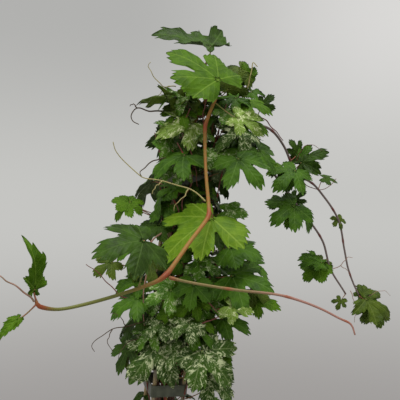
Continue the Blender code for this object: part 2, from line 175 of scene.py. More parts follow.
pot = add_piece("pot_shell", pot_points * MM, pot_faces, [black_plastic])
pot.data.set_sharp_from_angle(angle=math.radians(38))
DRAIN_HOLES = 6
HOLE_CIRCLE = 34.0
HOLE_RADIUS = 4.0
HOLE_SIDES = 24
hole_turn = np.arange(HOLE_SIDES) * 2.0 * math.pi / HOLE_SIDES
cutter_points = []
cutter_faces = []
for i in range(DRAIN_HOLES):
    a = 2.0 * math.pi * (i + 0.5) / DRAIN_HOLES
    for z in (-3.0, 6.0):
        ring = np.stack([HOLE_CIRCLE * math.cos(a) + HOLE_RADIUS * np.cos(hole_turn),
                         HOLE_CIRCLE * math.sin(a) + HOLE_RADIUS * np.sin(hole_turn),
                         np.full(HOLE_SIDES, z)], -1)
        cutter_points.append(ring)
    start = 2 * HOLE_SIDES * i
    middle = start + HOLE_SIDES
    cutter_faces += grid_faces(2, HOLE_SIDES, start)
    cutter_faces.append(list(range(start, middle))[::-1])
    cutter_faces.append(list(range(middle, middle + HOLE_SIDES)))
drill_mesh = bpy.data.meshes.new("drill")
drill_mesh.from_pydata((np.vstack(cutter_points) * MM).tolist(), [], cutter_faces)
drill = bpy.data.objects.new("drill", drill_mesh)
bpy.context.scene.collection.objects.link(drill)
drilling = pot.modifiers.new("drain_holes", "BOOLEAN")
drilling.object = drill
drilling.operation = "DIFFERENCE"
with bpy.context.temp_override(object=pot, active_object=pot, selected_objects=[pot]):
    bpy.ops.object.modifier_apply(modifier=drilling.name)
bpy.data.objects.remove(drill)
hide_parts("pot")

# ---- soil ----
# Damp peat potting compost with bark chips and white perlite grains, loosely heaped round the stems.
SOIL_RINGS = 34
SOIL_TURNS = 150
GAP = 0.3                  # clearance left between pieces that touch
soil_radius = pot_radius(soil_level) - POT_WALL - GAP
rings = np.linspace(0.02, 1.0, SOIL_RINGS)[:, None]
turn = np.arange(SOIL_TURNS)[None, :] * 2.0 * math.pi / SOIL_TURNS
rng = np.random.default_rng(11)
x = rings * soil_radius * np.cos(turn)
y = rings * soil_radius * np.sin(turn)
lumps = sum(
    size * np.sin(x * f + p) * np.cos(y * f * 1.13 + q)
    for size, f, p, q in ((0.7, 0.11, 0.3, 1.1), (0.45, 0.31, 2.0, 0.4), (0.3, 0.62, 1.2, 2.2))
)
lumps = lumps + rng.normal(0.0, 0.28, x.shape)
top = soil_level - 1.5 + lumps * (1.0 - rings ** 8) - 1.0 * rings ** 4
soil_points = np.stack([x, y, top], -1).reshape(-1, 3)
soil_faces = grid_faces(SOIL_RINGS, SOIL_TURNS)
centre = len(soil_points)
skirt = np.stack([x[-1] * 0.75, y[-1] * 0.75, np.full(SOIL_TURNS, POT_WALL + GAP)], -1)
soil_points = np.vstack([soil_points, [[0.0, 0.0, soil_level - 1.2]], skirt, [[0.0, 0.0, POT_WALL + GAP]]])
around = np.arange(SOIL_TURNS)
after = (around + 1) % SOIL_TURNS
edge = (SOIL_RINGS - 1) * SOIL_TURNS
soil_faces += np.stack([np.full(SOIL_TURNS, centre), around, after], -1).tolist()
soil_faces += np.stack([edge + around, centre + 1 + around, centre + 1 + after, edge + after], -1).tolist()
soil_faces += np.stack([np.full(SOIL_TURNS, len(soil_points) - 1), centre + 1 + after,
                        centre + 1 + around], -1).tolist()

# Damp peat: nearly black, crumbly at about a millimetre, paler where it has dried.
compost, tree, shader = new_material("damp_peat_compost", 0.95, 1.4)
place = node(tree, "TexCoord", {}, "Object")
crumbs = node(tree, "TexNoise", {"Vector": place, "Scale": 700.0, "Detail": 8.0, "Roughness": 0.7})
crumb_share = node(tree, "MapRange", {0: crumbs, 1: 0.35, 2: 0.7}, **SMOOTH)
colour = node(tree, "Mix", {0: crumb_share, 6: "#1B130E", 7: "#4A3626"}, 2, **COLOUR)
damp_patches = node(tree, "TexNoise", {"Vector": place, "Scale": 60.0})
dry = node(tree, "MapRange", {0: damp_patches, 1: 0.45, 2: 0.7}, **SMOOTH)
tree.links.new(node(tree, "Mix", {0: dry, 6: colour, 7: "#2A1E16"}, 2, **COLOUR), shader.inputs["Base Color"])
tree.links.new(node(tree, "Bump", {"Height": crumbs, "Strength": 0.9, "Distance": 1.2 * MM}, "Normal"),
               shader.inputs["Normal"])
soil = add_piece("compost", soil_points * MM, soil_faces, [compost])
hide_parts("soil")


def grains_mesh(count, sizes, seed, reach, height, flat):
    """Points and faces of many six-cornered grains strewn on the soil inside `reach` mm of the middle."""
    rng = np.random.default_rng(seed)
    corners = np.array([(1, 0, 0), (-1, 0, 0), (0, 1, 0), (0, -1, 0), (0, 0, 1), (0, 0, -1)], float)
    sides = np.array([(0, 2, 4), (2, 1, 4), (1, 3, 4), (3, 0, 4), (2, 0, 5), (1, 2, 5), (3, 1, 5), (0, 3, 5)])
    out = reach * np.sqrt(rng.random(count))
    way = rng.random(count) * 2.0 * math.pi
    places = np.stack([out * np.cos(way), out * np.sin(way), np.full(count, height)], -1)
    size = rng.uniform(*sizes, (count, 1, 1)) * rng.uniform(0.6, 1.4, (count, 6, 1))
    turned = rng.random(count) * 2.0 * math.pi
    shape = corners[None] * np.array((1.0, 0.65, flat))
    spun = np.stack([shape[..., 0] * np.cos(turned)[:, None] - shape[..., 1] * np.sin(turned)[:, None],
                     shape[..., 0] * np.sin(turned)[:, None] + shape[..., 1] * np.cos(turned)[:, None],
                     np.repeat(shape[..., 2], count, 0)], -1)
    points = (spun * size + places[:, None]).reshape(-1, 3)
    faces = (sides[None] + 6 * np.arange(count)[:, None, None]).reshape(-1, 3)
    return points, faces.tolist()


# Bark chips are brown and fibrous, perlite a brittle white foam of rock.
GRAINS = {"composted_bark_chips": ("#2B1A10", "#6A4A30", 260.0, 1500.0, 0.85),
          "expanded_perlite_grains": ("#B9B2A4", "#E4E0D6", 500.0, 2600.0, 0.9)}
grain_looks = []
for look_name, (low, high, patch_scale, pore_scale, roughness) in GRAINS.items():
    look, tree, shader = new_material(look_name, roughness, 1.5)
    place = node(tree, "TexCoord", {}, "Object")
    patches = node(tree, "TexNoise", {"Vector": place, "Scale": patch_scale, "Detail": 4.0})
    patch_share = node(tree, "MapRange", {0: patches, 1: 0.35, 2: 0.65}, **SMOOTH)
    grain_colour = node(tree, "Mix", {0: patch_share, 6: low, 7: high}, 2, **COLOUR)
    tree.links.new(grain_colour, shader.inputs["Base Color"])
    pores = node(tree, "TexNoise", {"Vector": place, "Scale": pore_scale, "Detail": 5.0})
    tree.links.new(node(tree, "Bump", {"Height": pores, "Strength": 0.6, "Distance": 0.4 * MM}, "Normal"),
                   shader.inputs["Normal"])
    grain_looks.append(look)
bark, perlite = grain_looks
chip_points, chip_faces = grains_mesh(520, (1.2, 3.4), 5, soil_radius - 3.0, soil_level - 1.4, 0.4)
add_piece("bark_chips", chip_points * MM, chip_faces, [bark], smooth=False)
grain_points, grain_faces = grains_mesh(150, (0.7, 1.5), 8, soil_radius - 3.0, soil_level - 0.9, 0.8)
add_piece("perlite", grain_points * MM, grain_faces, [perlite], smooth=False)

# ---- canes ----
# Four thin bamboo canes pushed into the soil. Each has slightly swollen joints, a dried pale-brown skin
# with fine fibres along it, and grey weathering.
RACK_LEAN = math.radians(5.6)
RACK_TURN = math.radians(19.0)
RACK_SIDE = 38.0
CANE_RADIUS = 2.3
CANE_LOW, CANE_HIGH = -62.0, 338.0
CANE_SIDES = 18
JOINT_PITCH = 92.0         # mm between the joints of a cane
JOINT_SHIFT = 31.0         # mm from one cane's joints to the next one's
crown = np.array((0.0, 0.0, soil_level))


def rack_place(points):
    """From the rack's own axes to the plant's: turned on its axis, then leaned towards +X."""
    points = np.asarray(points, dtype=float)
    x = points[..., 0] * math.cos(RACK_TURN) - points[..., 1] * math.sin(RACK_TURN)
    y = points[..., 0] * math.sin(RACK_TURN) + points[..., 1] * math.cos(RACK_TURN)
    z = points[..., 2]
    return np.stack([x * math.cos(RACK_LEAN) + z * math.sin(RACK_LEAN), y,
                     z * math.cos(RACK_LEAN) - x * math.sin(RACK_LEAN)], -1)


def tube(centres, radii, sides):
    """Points and quads of a closed tube: circles carried along a line by parallel transport, ends rounded."""
    centres = np.asarray(centres, dtype=float)
    radii = np.asarray(radii, dtype=float)
    tangents = np.gradient(centres, axis=0)
    tangents /= np.linalg.norm(tangents, axis=1)[:, None]
    first, last = tangents[0], tangents[-1]
    centres = np.vstack([centres[:1] - first * radii[0] * 0.5, centres[:1] - first * radii[0] * 0.4,
                         centres, centres[-1:] + last * radii[-1] * 0.4, centres[-1:] + last * radii[-1] * 0.5])
    tangents = np.vstack([tangents[:1], tangents[:1], tangents, tangents[-1:], tangents[-1:]])
    radii = np.concatenate([[0.02 * radii[0], 0.7 * radii[0]], radii, [0.7 * radii[-1], 0.02 * radii[-1]]])
    across = np.cross(tangents[0], (0.31, 0.87, 0.38))
    frames = []
    for tangent in tangents:
        across = across - tangent * np.dot(across, tangent)
        across = across / np.linalg.norm(across)
        frames.append(across)
    frames = np.array(frames)
    others = np.cross(tangents, frames)
    turn = np.arange(sides) * 2.0 * math.pi / sides
    points = centres[:, None] + radii[:, None, None] * (
        frames[:, None] * np.cos(turn)[None, :, None] + others[:, None] * np.sin(turn)[None, :, None])
    return points.reshape(-1, 3), grid_faces(len(centres), sides)


# Dried bamboo skin: silky, with fibres about 0.4 mm apart drawn out along the cane.
bamboo, tree, shader = new_material("dried_bamboo_cane", 0.5, 1.5)
place = node(tree, "TexCoord", {}, "Object")
drawn = node(tree, "Mapping", {"Vector": place, "Scale": (1.0, 1.0, 0.04)})
fibres = node(tree, "TexNoise", {"Vector": drawn, "Scale": 2600.0, "Detail": 4.0, "Roughness": 0.6})
fibre_share = node(tree, "MapRange", {0: fibres, 1: 0.3, 2: 0.7}, **SMOOTH)
colour = node(tree, "Mix", {0: fibre_share, 6: "#6E5A38", 7: "#A8915F"}, 2, **COLOUR)
weather = node(tree, "TexNoise", {"Vector": place, "Scale": 30.0, "Detail": 4.0})
grey = node(tree, "MapRange", {0: weather, 1: 0.45, 2: 0.7}, **SMOOTH)
tree.links.new(node(tree, "Mix", {0: grey, 6: colour, 7: "#77705C"}, 2, **COLOUR), shader.inputs["Base Color"])
tree.links.new(node(tree, "Bump", {"Height": fibres, "Strength": 0.6, "Distance": 0.15 * MM}, "Normal"),
               shader.inputs["Normal"])
cane_offset = RACK_SIDE / 2 - GAP - CANE_RADIUS
corners = {"front_left": (-1, -1), "front_right": (1, -1), "back_right": (1, 1), "back_left": (-1, 1)}
for number, (corner, (sx, sy)) in enumerate(corners.items()):
    heights = np.arange(CANE_LOW + 1.5, CANE_HIGH - 1.0, 1.6)
    joint = np.abs((heights + JOINT_SHIFT * number) % JOINT_PITCH - JOINT_PITCH / 2)
    swell = 0.32 * np.exp(-((joint - 1.0) / 1.1) ** 2) - 0.16 * np.exp(-((joint - 3.4) / 1.0) ** 2)
    upright = np.zeros_like(heights)
    line = np.stack([upright + sx * cane_offset, upright + sy * cane_offset, heights], -1)
    points, faces = tube(rack_place(line) + crown, CANE_RADIUS - 0.15 + swell, CANE_SIDES)
    cane = add_piece(f"bamboo_{corner}", points * MM, faces, [bamboo])
    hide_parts(f"cane_{corner}")

# ---- bands ----
# Grey-green polypropylene strip folded round the four canes into a closed square that holds them together.
# The strip is extruded flat, so its faces are slightly wavy and its edges a little rounded.
BAND_HEIGHT = 12.5
BAND_THICKNESS = 1.2
BAND_LEVELS = {"lower": 77.0, "upper": 302.0}      # the middle of each band above the soil
BAND_CORNER_STEPS = 9
BAND_WAVE = 0.25

# Extruded polypropylene strip: a satin face with fine draw lines along it.
strip, tree, shader = new_material("extruded_grey_strip", 0.4, 1.49)
place = node(tree, "TexCoord", {}, "Object")
patches = node(tree, "TexNoise", {"Vector": place, "Scale": 120.0, "Detail": 5.0})
patch_share = node(tree, "MapRange", {0: patches, 1: 0.35, 2: 0.7}, **SMOOTH)
tree.links.new(node(tree, "Mix", {0: patch_share, 6: "#3A3E2E", 7: "#505442"}, 2, **COLOUR),
               shader.inputs["Base Color"])
flattened = node(tree, "Mapping", {"Vector": place, "Scale": (0.15, 0.15, 1.0)})
draw_lines = node(tree, "TexNoise", {"Vector": flattened, "Scale": 1800.0, "Detail": 3.0})
tree.links.new(node(tree, "Bump", {"Height": draw_lines, "Strength": 0.6, "Distance": 0.12 * MM}, "Normal"),
               shader.inputs["Normal"])


def square_outline(half, radius, steps):
    """A rounded square, anticlockwise, with `steps` points on each corner and on each side."""
    corners = []
    for quarter in range(4):
        start = math.radians(90.0 * quarter)
        centre_x = math.copysign(half - radius, math.cos(start + math.pi / 4))
        centre_y = math.copysign(half - radius, math.sin(start + math.pi / 4))
        bend = start + np.linspace(0.0, math.pi / 2, steps)
        corners.append(np.stack([centre_x + radius * np.cos(bend), centre_y + radius * np.sin(bend)], -1))
    line = []
    for corner, following in zip(corners, corners[1:] + corners[:1]):
        t = np.linspace(0.0, 1.0, steps + 2)[1:-1, None]
        line += [corner, corner[-1] + (following[0] - corner[-1]) * t]
    return np.vstack(line)


for level_name, level in BAND_LEVELS.items():
    corner_radius = CANE_RADIUS + GAP
    inside = square_outline(RACK_SIDE / 2, corner_radius, BAND_CORNER_STEPS)
    outside = square_outline(RACK_SIDE / 2 + BAND_THICKNESS, corner_radius + BAND_THICKNESS, BAND_CORNER_STEPS)
    # Section corners round the strip: (0 inside to 1 outside, height from the middle)
    section = [(1, -0.44), (1, -0.2), (1, 0.2), (1, 0.44), (0.85, 0.49), (0.5, 0.5), (0.15, 0.49),
               (0, 0.44), (0, 0.2), (0, -0.2), (0, -0.44), (0.15, -0.49), (0.5, -0.5), (0.85, -0.49)]
    along = np.linspace(0.0, 2.0 * math.pi, len(inside), endpoint=False)
    wave = BAND_WAVE * np.sin(3.0 * along + level)
    rows = []
    for out, height in section:
        flat = inside + (outside - inside) * out
        rows.append(np.column_stack([flat, level + height * BAND_HEIGHT + wave]))
    points = rack_place(np.array(rows).reshape(-1, 3)) + crown
    faces = grid_faces(len(section), len(inside))
    ring = np.arange(len(inside))
    tail = (len(section) - 1) * len(inside)
    faces += np.stack([tail + ring, tail + np.roll(ring, -1), np.roll(ring, -1), ring], -1).tolist()
    band = add_piece(f"strip_{level_name}", points * MM, faces, [strip])
    band.data.set_sharp_from_angle(angle=math.radians(50))
    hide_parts(f"band_{level_name}")

# ---- vines ----
# Climbing stems: the old ones thin, maroon to grey-brown and lightly ridged, the young runner tan-orange,
# finely streaked and swollen red-brown at each node where a leaf and a tendril leave it.
VINE_RING = 9.5
VINE_RADIUS = 1.9
WEAVE = 22.0
WEAVE_PITCH = 170.0
RACK_SLOPE = math.tan(RACK_LEAN)


def climb(angle, top):
    """Knots (x, y, z, radius) of a vine climbing inside the rack from below the soil up to `top`."""
    z = np.append(np.arange(-24.0, top - 15.0, 24.0), top)
    a = np.radians(angle + WEAVE * np.sin(2.0 * math.pi * z / WEAVE_PITCH))
    knots = np.stack([z * RACK_SLOPE + VINE_RING * np.cos(a), VINE_RING * np.sin(a), z,
                      np.full_like(z, VINE_RADIUS)], -1)
    return knots.tolist()


def smooth_line(knots, step):
    """A Catmull-Rom curve through the knots, sampled about every `step` mm; further columns follow along."""
    knots = np.asarray(knots, dtype=float)
    padded = np.vstack([2 * knots[0] - knots[1], knots, 2 * knots[-1] - knots[-2]])
    line = []
    for a, b, c, d in zip(padded, padded[1:], padded[2:], padded[3:]):
        count = max(1, round(np.linalg.norm((c - b)[:3]) / step))
        t = (np.arange(count) / count)[:, None]
        line.append(0.5 * (2 * b + (c - a) * t + (2 * a - 5 * b + 4 * c - d) * t**2
                           + (3 * b - a - 3 * c + d) * t**3))
    line.append(knots[-1:])
    return np.vstack(line)


VINES = {
    "vine_runner": climb(270, 350) + [
        (47, -12, 376, 1.7), (56, -22, 394, 1.6), (62, -38, 398, 1.6), (63, -50, 389, 1.6),
        (61, -54, 378, 1.6), (57, -51, 369, 1.6), (52, -48, 356, 2.0), (51, -49, 349, 2.0),
        (51, -58, 326, 1.6), (52, -68, 301, 1.6), (54, -78, 276, 1.8), (54, -85, 265, 2.3),
        (49, -94, 257, 1.9), (36, -113, 241, 1.8), (24, -132, 225, 1.9), (18, -140, 218, 2.4),
        (9, -146, 213, 1.7), (-15, -163, 207, 1.4), (-39, -181, 203, 1.3), (-54, -191, 202, 1.2),
        (-64, -200, 206, 1.6), (-66, -201, 210, 1.0),
    ],
    "vine_top": climb(200, 355) + [(35, -6, 385, 1.6), (46, -10, 410, 1.5), (52, -16, 424, 1.3)],
    "vine_far_long": climb(340, 330) + [
        (66, 4, 346, 1.7), (88, 12, 358, 1.6), (109, 20, 363, 1.5), (127, 30, 361, 1.5),
        (145, 45, 345, 1.4), (164, 60, 312, 1.4), (191, 72, 295, 1.3), (221, 85, 256, 1.3),
        (233, 95, 215, 1.2), (239, 98, 189, 1.2), (248, 102, 166, 1.1), (255, 104, 153, 0.9),
    ],
    "vine_far_short": climb(35, 305) + [
        (68, 16, 322, 1.7), (94, 24, 330, 1.6), (118, 32, 325, 1.5), (148, 52, 292, 1.4),
        (178, 72, 258, 1.3), (202, 83, 226, 1.3), (214, 90, 189, 1.2), (236, 100, 156, 1.1),
    ],
    "vine_back": climb(100, 350) + [(44, 22, 375, 1.6), (50, 38, 388, 1.4), (56, 52, 386, 1.1)],
    "runner_tendril": [
        (21.2, -140.4, 216.2, 1.4), (32, -143, 214, 1.2), (46, -147, 212, 1.1), (78, -155, 208, 1.1),
        (104, -160, 206, 1.0), (119, -163, 203, 1.0), (135, -168, 198, 0.9), (149, -172, 191, 0.8),
        (157, -175, 187, 0.7), (159, -178, 180, 0.6),
    ],
}
# Nodes of the runner, where the stem swells and reddens: (x, y, z).
RUNNER_NODES = [(51.5, -48.5, 352), (54, -85, 265), (18, -140, 218), (-64, -200, 206)]


def stem_material(name, base, streak, red, far=None):
    """Living bark: long streaks between two colours, red where the stem's `node` attribute is high, and
    fading to the `far` colour along the way it grows: (colour, axis, start, end) in metres."""
    material, tree, shader = new_material(name, 0.5, 1.45, Specular_IOR_Level=0.35)
    place = node(tree, "TexCoord", {}, "Object")
    streaks = node(tree, "TexNoise", {"Vector": place, "Scale": 420.0, "Detail": 5.0, "Distortion": 0.4})
    streak_share = node(tree, "MapRange", {0: streaks, 1: 0.35, 2: 0.65}, **SMOOTH)
    colour = node(tree, "Mix", {0: streak_share, 6: base, 7: streak}, 2, **COLOUR)
    if far:
        far_colour, axis, begin, end = far
        way = node(tree, "SeparateXYZ", {0: place}, axis)
        far_share = node(tree, "MapRange", {0: way, 1: begin, 2: end}, **SMOOTH)
        colour = node(tree, "Mix", {0: far_share, 6: colour, 7: far_colour}, 2, **COLOUR)
    redness = node(tree, "Attribute", {}, "Fac", attribute_name="node")
    tree.links.new(node(tree, "Mix", {0: redness, 6: colour, 7: red}, 2, **COLOUR), shader.inputs["Base Color"])
    fine = node(tree, "TexNoise", {"Vector": place, "Scale": 3200.0, "Detail": 3.0})
    tree.links.new(node(tree, "Bump", {"Height": fine, "Strength": 0.6, "Distance": 0.12 * MM}, "Normal"),
                   shader.inputs["Normal"])
    return material


young_bark = stem_material("young_stem_skin", "#96602C", "#866C2C", "#8A4224", ("#66692F", "X", 0.02, -0.02))
old_bark = stem_material("old_stem_bark", "#4A1F1A", "#66483A", "#6E261A", ("#6E605C", "X", 0.06, 0.13))
tendril_skin = stem_material("runner_tendril_skin", "#6E6434", "#7E6A42", "#8A4628",
                             ("#92695C", "X", 0.07, 0.12))
TENDRIL_SKINS = {
    "pink": stem_material("pink_tendril_skin", "#946A5C", "#86705A", "#7A3A2A"),
    "tan": stem_material("tan_tendril_skin", "#A09660", "#8E8452", "#7A4A30"),
    "dry": stem_material("dried_tendril", "#3A2A1C", "#4E3C28", "#2E1E14"),
    "maroon": stem_material("maroon_twig_skin", "#5A2420", "#6A4438", "#7A2A1A"),
}


def add_attribute(made, name, values):
    """Give a piece one value at each point, for its material to read by name."""
    layer = made.data.attributes.new(name, "FLOAT", "POINT")
    layer.data.foreach_set("value", np.asarray(values, dtype=np.float32))


NODE_PITCH = 46.0          # mm between the nodes of an old stem
STEM_SIDES = 14
vine_lines = {}
for vine_name, knots in VINES.items():
    line = smooth_line(knots, 2.5)
    vine_lines[vine_name] = line
    centres, radii = line[:, :3], line[:, 3].copy()
    swelling = np.zeros(len(line))
    if vine_name == "vine_runner":
        for place in RUNNER_NODES:
            away = np.linalg.norm(centres - place, axis=1)
            swelling = np.maximum(swelling, np.exp(-(away / 7.0) ** 2))
    else:
        run = np.cumsum(np.r_[0.0, np.linalg.norm(np.diff(centres, axis=0), axis=1)])
        swelling = 0.8 * np.exp(-((np.abs((run + 20.0) % NODE_PITCH - NODE_PITCH / 2) / 3.0) ** 2))
        radii = radii * (1.0 + 0.22 * swelling)
        swing = np.abs((run + 20.0) % (2.0 * NODE_PITCH) / NODE_PITCH - 1.0)
        zigzag = 0.9 * swing * np.clip(run / 60.0, 0.0, 1.0)
        centres = centres + zigzag[:, None] * np.array((0.6, 0.5, 0.6))
    points, faces = tube(centres + crown, radii, STEM_SIDES)
    skin = {"vine_runner": young_bark, "runner_tendril": tendril_skin}.get(vine_name, old_bark)
    stem = add_piece(f"{vine_name}_stem", points * MM, faces, [skin])
    wide = np.concatenate([[swelling[0]] * 2, swelling, [swelling[-1]] * 2])
    add_attribute(stem, "node", np.repeat(wide, STEM_SIDES))
    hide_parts(vine_name)

# ---- leaves ----
# Blades with three to five coarsely toothed lobes and rounded bays between them, on slender pinkish stalks.
# Veins run from the stalk to each lobe's tip and branch on the way. Young blades are thin and yellow-green,
# older ones dark with a dull wax gloss, and the variegated ones marbled with cream.
BLADE_THICKNESS = 0.28
SIDE_VEINS = 7.0           # pairs of side veins to a blade's length
SIDE_VEIN_SLANT = 1.15
LOBE_REACH = 25.0          # degrees each side of its vein that a lobe keeps straight sides
LOBE_FALL = 24.0           # degrees over which it falls away beyond them


def blade_radius(angle, shape, axes):
    """Outline of a unit blade about its stalk. Each lobe is a straight-sided point that falls away past
    LOBE_REACH degrees, and the edge is the furthest lobe at each angle. A rounded bay is taken out between
    lobes, coarse teeth lean towards the lobes' tips, and the outline closes behind the stalk."""
    degrees = np.degrees(angle)
    reach = np.zeros_like(angle)
    nearest = np.full_like(angle, 360.0)
    for axis, (length, point) in zip(axes, shape["lobes"]):
        off = np.abs((degrees - axis + 180.0) % 360.0 - 180.0)
        lean = math.radians(point)
        side = length * math.sin(lean) / np.sin(np.minimum(lean + np.radians(off), math.pi / 2))
        side = side * np.exp(-(np.maximum(off - LOBE_REACH, 0.0) / LOBE_FALL) ** 2)
        reach = np.maximum(reach, side)
        nearest = np.minimum(nearest, off)
    bays = np.zeros_like(angle)
    for a, b, depth in zip(axes, axes[1:], shape["bays"]):
        bays = np.maximum(bays, depth * np.exp(-((degrees - (a + b) / 2) / shape["bay_width"]) ** 4))
    tooth = (nearest / shape["pitch"] + 0.3) % 1.0
    teeth = 1.0 - shape["teeth"] * (tooth - 0.5) * np.minimum(nearest / 4.0, 1.0)
    closing = np.clip((179.0 - np.abs(degrees)) / 30.0, 0.0, 1.0) ** 0.6
    return np.maximum(reach * teeth * (1.0 - bays) * closing, 0.05)


# For each lobe: degrees from the midrib, then (length, half-angle of the point); bays lie between neighbours.
FIVE_LOBES = {"axes": (-108, -54, 0, 54, 108),
              "lobes": ((0.62, 54), (0.84, 48), (1.0, 45), (0.84, 48), (0.62, 54)),
              "bays": (0.20, 0.40, 0.40, 0.20), "bay_width": 7.5, "teeth": 0.15, "pitch": 9.5}
DEEP_LOBES = {"axes": (-108, -54, 0, 54, 108),
              "lobes": ((0.6, 50), (0.86, 44), (1.0, 41), (0.86, 44), (0.6, 50)),
              "bays": (0.34, 0.54, 0.54, 0.34), "bay_width": 8.0, "teeth": 0.16, "pitch": 9.0}
THREE_LOBES = {"axes": (-112, -58, 0, 58, 112),
               "lobes": ((0.48, 60), (0.74, 50), (1.0, 42), (0.74, 50), (0.48, 60)),
               "bays": (0.06, 0.36, 0.36, 0.06), "bay_width": 8.0, "teeth": 0.15, "pitch": 9.5}
BROAD = {"axes": (-104, -52, 0, 52, 104), "lobes": ((0.64, 58), (0.82, 54), (1.0, 50), (0.82, 54), (0.64, 58)),
         "bays": (0.10, 0.18, 0.18, 0.10), "bay_width": 6.0, "teeth": 0.12, "pitch": 8.0}
TOP_LEAF = {"axes": (-80, -40, 0, 46, 104), "lobes": ((0.26, 50), (0.5, 46), (1.0, 42), (0.7, 48), (0.68, 44)),
            "bays": (0.2, 0.3, 0.2, 0.45), "bay_width": 9.0, "teeth": 0.13, "pitch": 11.0}
CROWN_LEAF = {"axes": (-78, -40, 0, 60, 110),
              "lobes": ((0.64, 50), (0.84, 52), (1.12, 48), (0.8, 56), (0.62, 56)),
              "bays": (0.04, 0.5, 0.58, 0.12), "bay_width": 6.0, "teeth": 0.1, "pitch": 8.0}
TIP_LEAF = {"axes": (-112, -52, 0, 52, 112), "lobes": ((0.2, 54), (0.4, 46), (1.0, 30), (0.4, 46), (0.2, 54)),
            "bays": (0.06, 0.14, 0.14, 0.06), "bay_width": 6.0, "teeth": 0.14, "pitch": 9.0}
FRONT_LEAF = {"axes": (-94, -42, 0, 50, 88),
              "lobes": ((0.74, 48), (0.74, 48), (1.0, 44), (0.84, 46), (0.5, 56)),
              "bays": (0.5, 0.26, 0.34, 0.18), "bay_width": 7.0, "teeth": 0.12, "pitch": 8.5}


def leaf_points(junction, tip, face, shape, width, bend, seed, detail):
    """A blade as a polar grid about the stalk: rays to the toothed outline, lifted by folds along the main
    veins, an arch along the midrib, a fall of the side lobes and a ripple at the edge.
    Returns upper and lower points, faces, and each point's distances across and along its main vein."""
    rays, rings = detail
    rng = np.random.default_rng(seed)
    angle = np.linspace(-math.pi + 0.03, math.pi - 0.03, rays)
    axes = np.array(shape["axes"]) + rng.normal(0.0, 2.5, 5)
    outline = blade_radius(angle, shape, axes)
    phase = rng.uniform(0.0, 6.28, 5)
    outline = outline * (1.0 + 0.05 * np.sin(angle * 2.0 + phase[3]) + 0.03 * np.sin(angle * 5.0 + phase[4]))
    s = np.linspace(0.0, 1.0, rings + 1)[1:, None]
    r = s * outline[None, :]
    x = r * np.sin(angle) * width
    y = r * np.cos(angle)
    off = np.angle(np.exp(1j * (angle[:, None] - np.radians(axes)[None, :])))
    off = off[np.arange(rays), np.abs(off).argmin(axis=1)]
    across = r * np.sin(np.abs(off))
    along_vein = r * np.cos(off)
    ripple_turns = rng.integers(5, 9)
    height = (bend["fold"] * across + bend["arch"] * y * (1.0 - y) - bend["droop"] * x * x
              + bend["ripple"] * s ** 2 * np.sin(ripple_turns * angle + phase[0]) * (0.4 + r)
              + bend["pucker"] * np.sin(along_vein * 21.0 + phase[1]) * np.minimum(across * 6.0, 1.0)
              - bend["curl"] * np.maximum(y - 0.5, 0.0) ** 2
              + bend["twist"] * x * y)
    junction = np.asarray(junction, dtype=float)
    along = np.asarray(tip, dtype=float) - junction
    size = np.linalg.norm(along)
    along = along / size
    normal = np.asarray(face, dtype=float)
    normal = normal - along * np.dot(normal, along)
    normal = normal / np.linalg.norm(normal)
    side = np.cross(along, normal)
    place = junction + size * (x[..., None] * side + y[..., None] * along + height[..., None] * normal)
    upper = np.vstack([[junction], place.reshape(-1, 3)])
    lower = upper - normal * BLADE_THICKNESS
    flat = np.arange(rays - 1)
    fan = np.stack([np.zeros(rays - 1, int), 1 + flat + 1, 1 + flat], -1)
    quads = np.array(grid_faces(rings, rays, 1, wrap=False))[:, ::-1]
    count = len(upper)
    top_faces = fan.tolist() + quads.tolist()
    low_faces = (fan[:, ::-1] + count).tolist() + (quads[:, ::-1] + count).tolist()
    edge = np.concatenate([[0], 1 + np.arange(rings) * rays, 1 + (rings - 1) * rays + np.arange(1, rays),
                           1 + np.arange(rings - 2, -1, -1) * rays + rays - 1])
    after = np.roll(edge, -1)
    rim = np.stack([edge, after, after + count, edge + count], -1).tolist()
    measure = np.concatenate([[0.0], across.reshape(-1)]), np.concatenate([[0.0], along_vein.reshape(-1)])
    return np.vstack([upper, lower]), top_faces, low_faces + rim, measure, size


